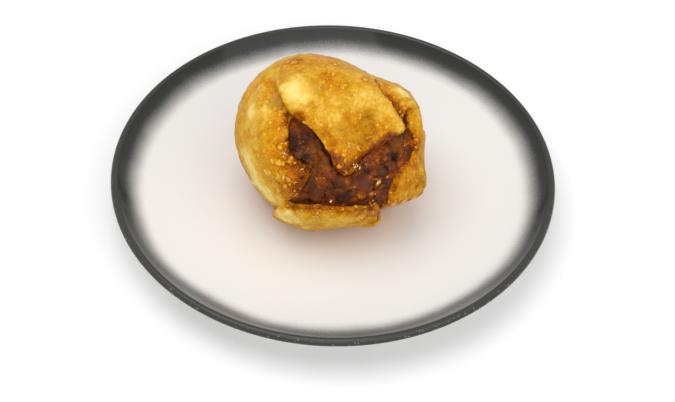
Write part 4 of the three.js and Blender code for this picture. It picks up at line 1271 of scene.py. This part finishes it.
# The pale dabs at (19.8, -11) and (14.7, -16.9) are painted highlights, where the oil glints.
MEAT_DABS = [
    (-12.4, 6.8, 3, 0.64, 0.9), (-12.4, 0, 3, 0.22, 0.9), (-8, 0.6, 3, 0.34),
    (-5.6, -3, 1.6, 0.5, 0.7), (-3.6, -5.4, 1.4, 0.42, 0.7), (-9.6, 5, 1.6, 0.52, 0.5),
    (-8.6, -5.4, 2, 0.2), (-2.8, -8.4, 1.5, 0.5), (-2.2, -9.6, 1.2, 0.56, 0.7),
    (-6.4, -12.5, 2.4, 0.36), (-4.4, -17.4, 2.8, 0.34), (2.8, -12.9, 2.2, 0.32, 0.9),
    (4.8, -17.7, 2.6, 0.18, 0.9), (12.4, -12.9, 3, 0.44), (17.7, -9, 2.2, 0.34),
    (19, -5.2, 1.8, 0.54), (14.6, -6.6, 2.4, 0.56), (12, -8.4, 1.8, 0.44, 0.7),
    (16, -4.2, 1.8, 0.62), (-2.8, -12.6, 1.6, 0.56, 0.9), (-3, -15, 1.2, 0.6),
    (11.2, -17.6, 1.8, 0.8, 1), (11.3, -17.4, 0.7, 0.6, 0.9), (5.9, -12.1, 1.2, 0.6),
    (7.4, -14.8, 1.3, 0.66), (13.7, -11, 1.2, 0.72, 0.9), (15.2, -11.6, 0.9, 0.72),
    (16.8, -13, 1.2, 1.2, 1), (18.4, -14.2, 0.9, 0.74), (14.7, -16.9, 1.2, 0.96, 0.9),
    (19.8, -11, 0.6, 0.95, 0.9), (0.6, -19.8, 1.2, 0.5, 0.7), (6.8, -16.2, 0.8, 0.06),
    (-7.2, -19.8, 1.6, 0.3), (2.6, -21.4, 1.6, 0.56), (10.4, -10.1, 0.9, 0.36),
    (19.4, -8.4, 0.8, 0.16), (-0.6, -15, 0.8, 0.16, 0.7), (20.4, -14, 1.6, 0.42),
    (21.8, -9.2, 1.4, 0.54), (24.2, -6.2, 1.6, 0.7, 0.9), (26.6, -3.2, 1.6, 0.66),
    (24.4, -2.4, 1.3, 0.56, 0.7), (28.2, 0.8, 1.8, 0.66), (25.7, 0.8, 1.6, 0.7, 0.9),
    (22.8, 0.6, 2.6, 0.6, 0.9), (22, 2, 1.2, 0.5), (4.6, -20, 1.2, 0.06),
    (-10.6, -19.6, 1.4, 0.44, 0.7), (18, -18.4, 1.4, 0.6), (12.6, -19.8, 1.6, 0.5, 0.6),
    (7.6, -20.6, 1.4, 0.5, 0.6), (15.1, -20.2, 1.4, 0.7), (20.2, -17.6, 1.4, 0.6),
    (0.4, -7.4, 1.6, 0.56), (22.6, -11.4, 1, 0.5), (5.4, -15.9, 1.4, 0.56, 0.9),
    (10.8, -19.4, 1.6, 0.58, 0.9), (7.3, -19.5, 1.4, 0.52), (20, -17.8, 1.2, 0.68),
]
GREY_DABS = [
    (-6.4, -12.5, 2.2, 0.6), (-4.4, -17.4, 2.6, 0.5), (2.8, -12.9, 2.2, 0.6),
    (12, -13.4, 2.4, 1.1), (17.7, -9, 1.6, 0.8), (5.6, -17.7, 1.6, 0.3), (20.2, -13, 1.6, 1.1),
    (18.8, -16.4, 1.6, 1.1), (21.6, -7.4, 1.6, 1), (13, -8, 1.8, 0.6), (9, -13.8, 1.4, 0.7),
    (-0.6, -6.8, 1.2, 0.6), (20.4, -3.4, 1.6, 0.8),
]
GLASSY_DABS = [
    (22.8, 0.8, 2.8, 1), (-5.4, -2.4, 2.4, 0.6), (-12.2, 7.4, 2.4, 0.7), (-2.6, -7.4, 1.8, 0.5),
    (-6.6, -12.4, 2.2, 0.3), (-11.4, -20, 1.8, 0.7),
]
brushed_mince = pushed_about(mince_places, 2.4 * MM, 0.8 * MM, 5.0)
tint = np.full(len(mince_places), MEAT_TINT)
tint = dab(tint, brushed_mince, filling_skin, MEAT_DABS, USUAL_FIRMNESS)
tint += LUMP_TINTS * (lump_chance - 0.5) + GRAIN_TINTS * (grain_chance - 0.5)
tint += PATCH_TINTS * fractal(mince_places, 3 * MM, 3, 7.0)
# Painted shade: darker in the gaps between the lumps and grains.
gaps = 0.4 * np.clip(0.4 - grains, 0, 1) + 0.9 * np.clip(0.45 - lumps, 0, 1)
tint -= gaps * (1 - smooth_meat)
meat = {
    "tint": tint,
    "grey": painted(brushed_mince, filling_skin, GREY_DABS),
    "glassy": painted(brushed_mince, filling_skin, GLASSY_DABS),
    "smooth": smooth_meat,
}
print("mince tint from", round(tint.min(), 2), "to", round(tint.max(), 2))

# %% Mince material
MEAT_TONES = [
    (0, (26, 10, 2)), (0.2, (54, 26, 8)), (0.38, (86, 44, 16)), (0.5, (112, 52, 20)),
    (0.62, (146, 68, 8)), (0.76, (176, 96, 2)), (0.88, (210, 146, 40)), (1, (250, 220, 142)),
]
GREY_MEAT = tone(98, 60, 46)
GLASSY_DOUGH = tone(130, 80, 0)
BROAD_SWING = 0.7
FINE_SWING = 0.5
SMOOTH_SWING = 0.25
GLASSY_STRENGTH = 0.8


def browned_mince():
    """Dark, wet, lumpy meat with amber juice and yellow bits."""
    material, tree, sockets = new_material("browned_mince")
    place = object_place(tree)
    mottle = use_group(tree, MOTTLE, {"Vector": place, "Broad": 420, "Fine": 1500}).outputs
    broad, fine = mottle["Broad"], mottle["Fine"]
    uneven = calc(tree, "ADD", swing(tree, broad, BROAD_SWING), swing(tree, fine, FINE_SWING))
    uneven = calc(tree, "MULTIPLY", uneven,
                  rise(tree, read(tree, "smooth"), 0.0, 1.0, 1.0, SMOOTH_SWING))
    colour = ramp(tree, calc(tree, "ADD", read(tree, "tint"), uneven), MEAT_TONES)
    grey_here = calc(tree, "ADD", read(tree, "grey"), uneven)
    glassy_here = calc(tree, "MULTIPLY", read(tree, "glassy"), GLASSY_STRENGTH)
    colour = blend(tree, rise(tree, grey_here, 0.1, 1.0, 0, 0.8), colour, GREY_MEAT)
    colour = blend(tree, glassy_here, colour, GLASSY_DOUGH)
    bump = add_node(tree, "ShaderNodeBump", {"Strength": 0.5, "Distance": 0.3 * MM,
                    "Height": calc(tree, "ADD", broad, fine)})
    finish_food(tree, sockets, colour, rise(tree, fine, 0.35, 0.7, 0.22, 0.45),
                rise(tree, fine, 0.58, 0.68), bump,
                {"Specular IOR Level": 0.1, "Subsurface Weight": 0.1,
                 "Subsurface Radius": (1.0, 0.3, 0.15), "Subsurface Scale": 0.8 * MM})
    return material


filling = new_piece("mince_crust", filling_shape, "filling", browned_mince())
for label, values in meat.items():
    store(filling.data, label, values)
print("mince:", len(filling.data.polygons), "faces")

# %% [markdown]
# ## Crumbs and fried bubbles
# Loose bits of mince and batter stick in the mouth and along its edges, and a few bubbles of
# batter stand on the flaps. Each is a small lump of its own: a ball with its corners pushed in
# and out. They are sown round listed places by a seeded draw, and sit on whatever skin lies
# under them, dough or meat.
# Most of the palest bits, with a tint of about 1 and above, and the bubbles on the flaps stand
# where the oil glints: their cream colour is a painted highlight.

# %% Crumbs
# Clusters: across, up, spread, number, radius in millimetres, and tint on the mince's scale.
# Most clusters with a tint of about 1 and above are painted highlights where the oil glints.
CRUMBS = [
    (-3, -12.4, 1.5, 16, 0.36, 0.7), (-3.2, -9.6, 1.5, 10, 0.3, 0.58),
    (-1.4, -15.2, 1.5, 12, 0.3, 0.62), (-4.1, -12.4, 0.3, 2, 0.32, 1.1),
    (15.6, -11.6, 0.9, 5, 0.34, 0.74), (18, -14.2, 0.8, 5, 0.3, 0.8),
    (14.7, -16.8, 0.9, 7, 0.36, 0.95), (15, -20.3, 0.9, 6, 0.34, 0.95),
    (19.8, -11, 0.4, 3, 0.34, 1.1), (11.2, -17.6, 1.5, 8, 0.26, 0.76),
    (4, -20.3, 2.2, 10, 0.3, 0.2), (0.8, -20, 0.4, 3, 0.34, 1), (9, -7.8, 0.9, 14, 0.26, 1.2),
    (12.6, -5.2, 1.8, 12, 0.3, 0.64), (16.4, -5.6, 2, 14, 0.3, 0.58),
    (13.4, -8, 1.6, 10, 0.28, 0.5), (-10.4, 0.4, 1.4, 7, 0.24, 0.84),
    (-8.6, -2.4, 2, 8, 0.26, 0.5), (11.1, -25.6, 0.7, 5, 0.3, 1), (-8, -17.6, 1.6, 5, 0.26, 0.7),
    (24.6, -2.6, 1.8, 8, 0.28, 0.56), (-15.5, -12, 0.4, 4, 0.34, 1.1),
    (-15.4, -4.4, 0.7, 6, 0.28, 1.1), (-27.3, -0.4, 0.3, 2, 0.34, 1.1),
    (0.6, 27, 0.4, 3, 0.34, 1.1), (-9.8, -9.2, 0.9, 6, 0.26, 0.9),
    (-10.6, -18.8, 0.8, 5, 0.26, 0.85), (26.6, 0.8, 1, 4, 0.26, 0.9),
    (8.6, -14.4, 1.4, 8, 0.28, 0.66), (0.2, -18, 1.6, 8, 0.28, 0.5),
]
CRUMB_SEED = 11
CRUMB_SPREAD = 0.6
CRUMB_SIZES = (0.66, 1.3)
CRUMB_TINTS = 0.12
CRUMB_SQUASH = 0.25
CRUMB_SINK = 0.3


def sown_crumbs(clusters, skin, draw):
    """All crumbs as one mesh, and the tint of each vertex."""
    shape = bmesh.new()
    tints = []
    for across, up, spread, number, radius, tint_here in clusters:
        for _ in range(number):
            place = on_face(skin, draw.gauss(across, spread * CRUMB_SPREAD),
                            draw.gauss(up, spread * CRUMB_SPREAD))
            size = radius * draw.uniform(*CRUMB_SIZES) * MM
            made = bmesh.ops.create_icosphere(shape, subdivisions=1, radius=size)["verts"]
            offset = Vector((draw.random(), draw.random(), draw.random())) * 9
            own_tint = tint_here + draw.uniform(-CRUMB_TINTS, CRUMB_TINTS)
            for vertex in made:
                dent = 1 + CRUMB_SQUASH * noise.noise(vertex.co / size + offset)
                vertex.co = vertex.co * dent + place - OUTWARD * size * CRUMB_SINK
            tints += [own_tint] * len(made)
    return shape, tints


food_skin = bmesh.new()
food_skin.from_mesh(wrapper.data)
food_skin.from_mesh(filling.data)
crumb_shape, crumb_tints = sown_crumbs(CRUMBS, BVHTree.FromBMesh(food_skin),
                                       random.Random(CRUMB_SEED))
food_skin.free()
crumbs = new_piece("crumbs", crumb_shape, "filling", filling.data.materials[0], replaces=False)
store(crumbs.data, "tint", crumb_tints)
print("crumbs:", len(crumbs.data.polygons), "faces")

# %% [markdown]
# The small lamp is linked to the food alone, so that no glint of it shows in the glaze.

# %% Glints
food = bpy.data.collections.new("food")
for piece in (wrapper, filling, crumbs):
    food.objects.link(piece)
lamps["glints"].light_linking.receiver_collection = food
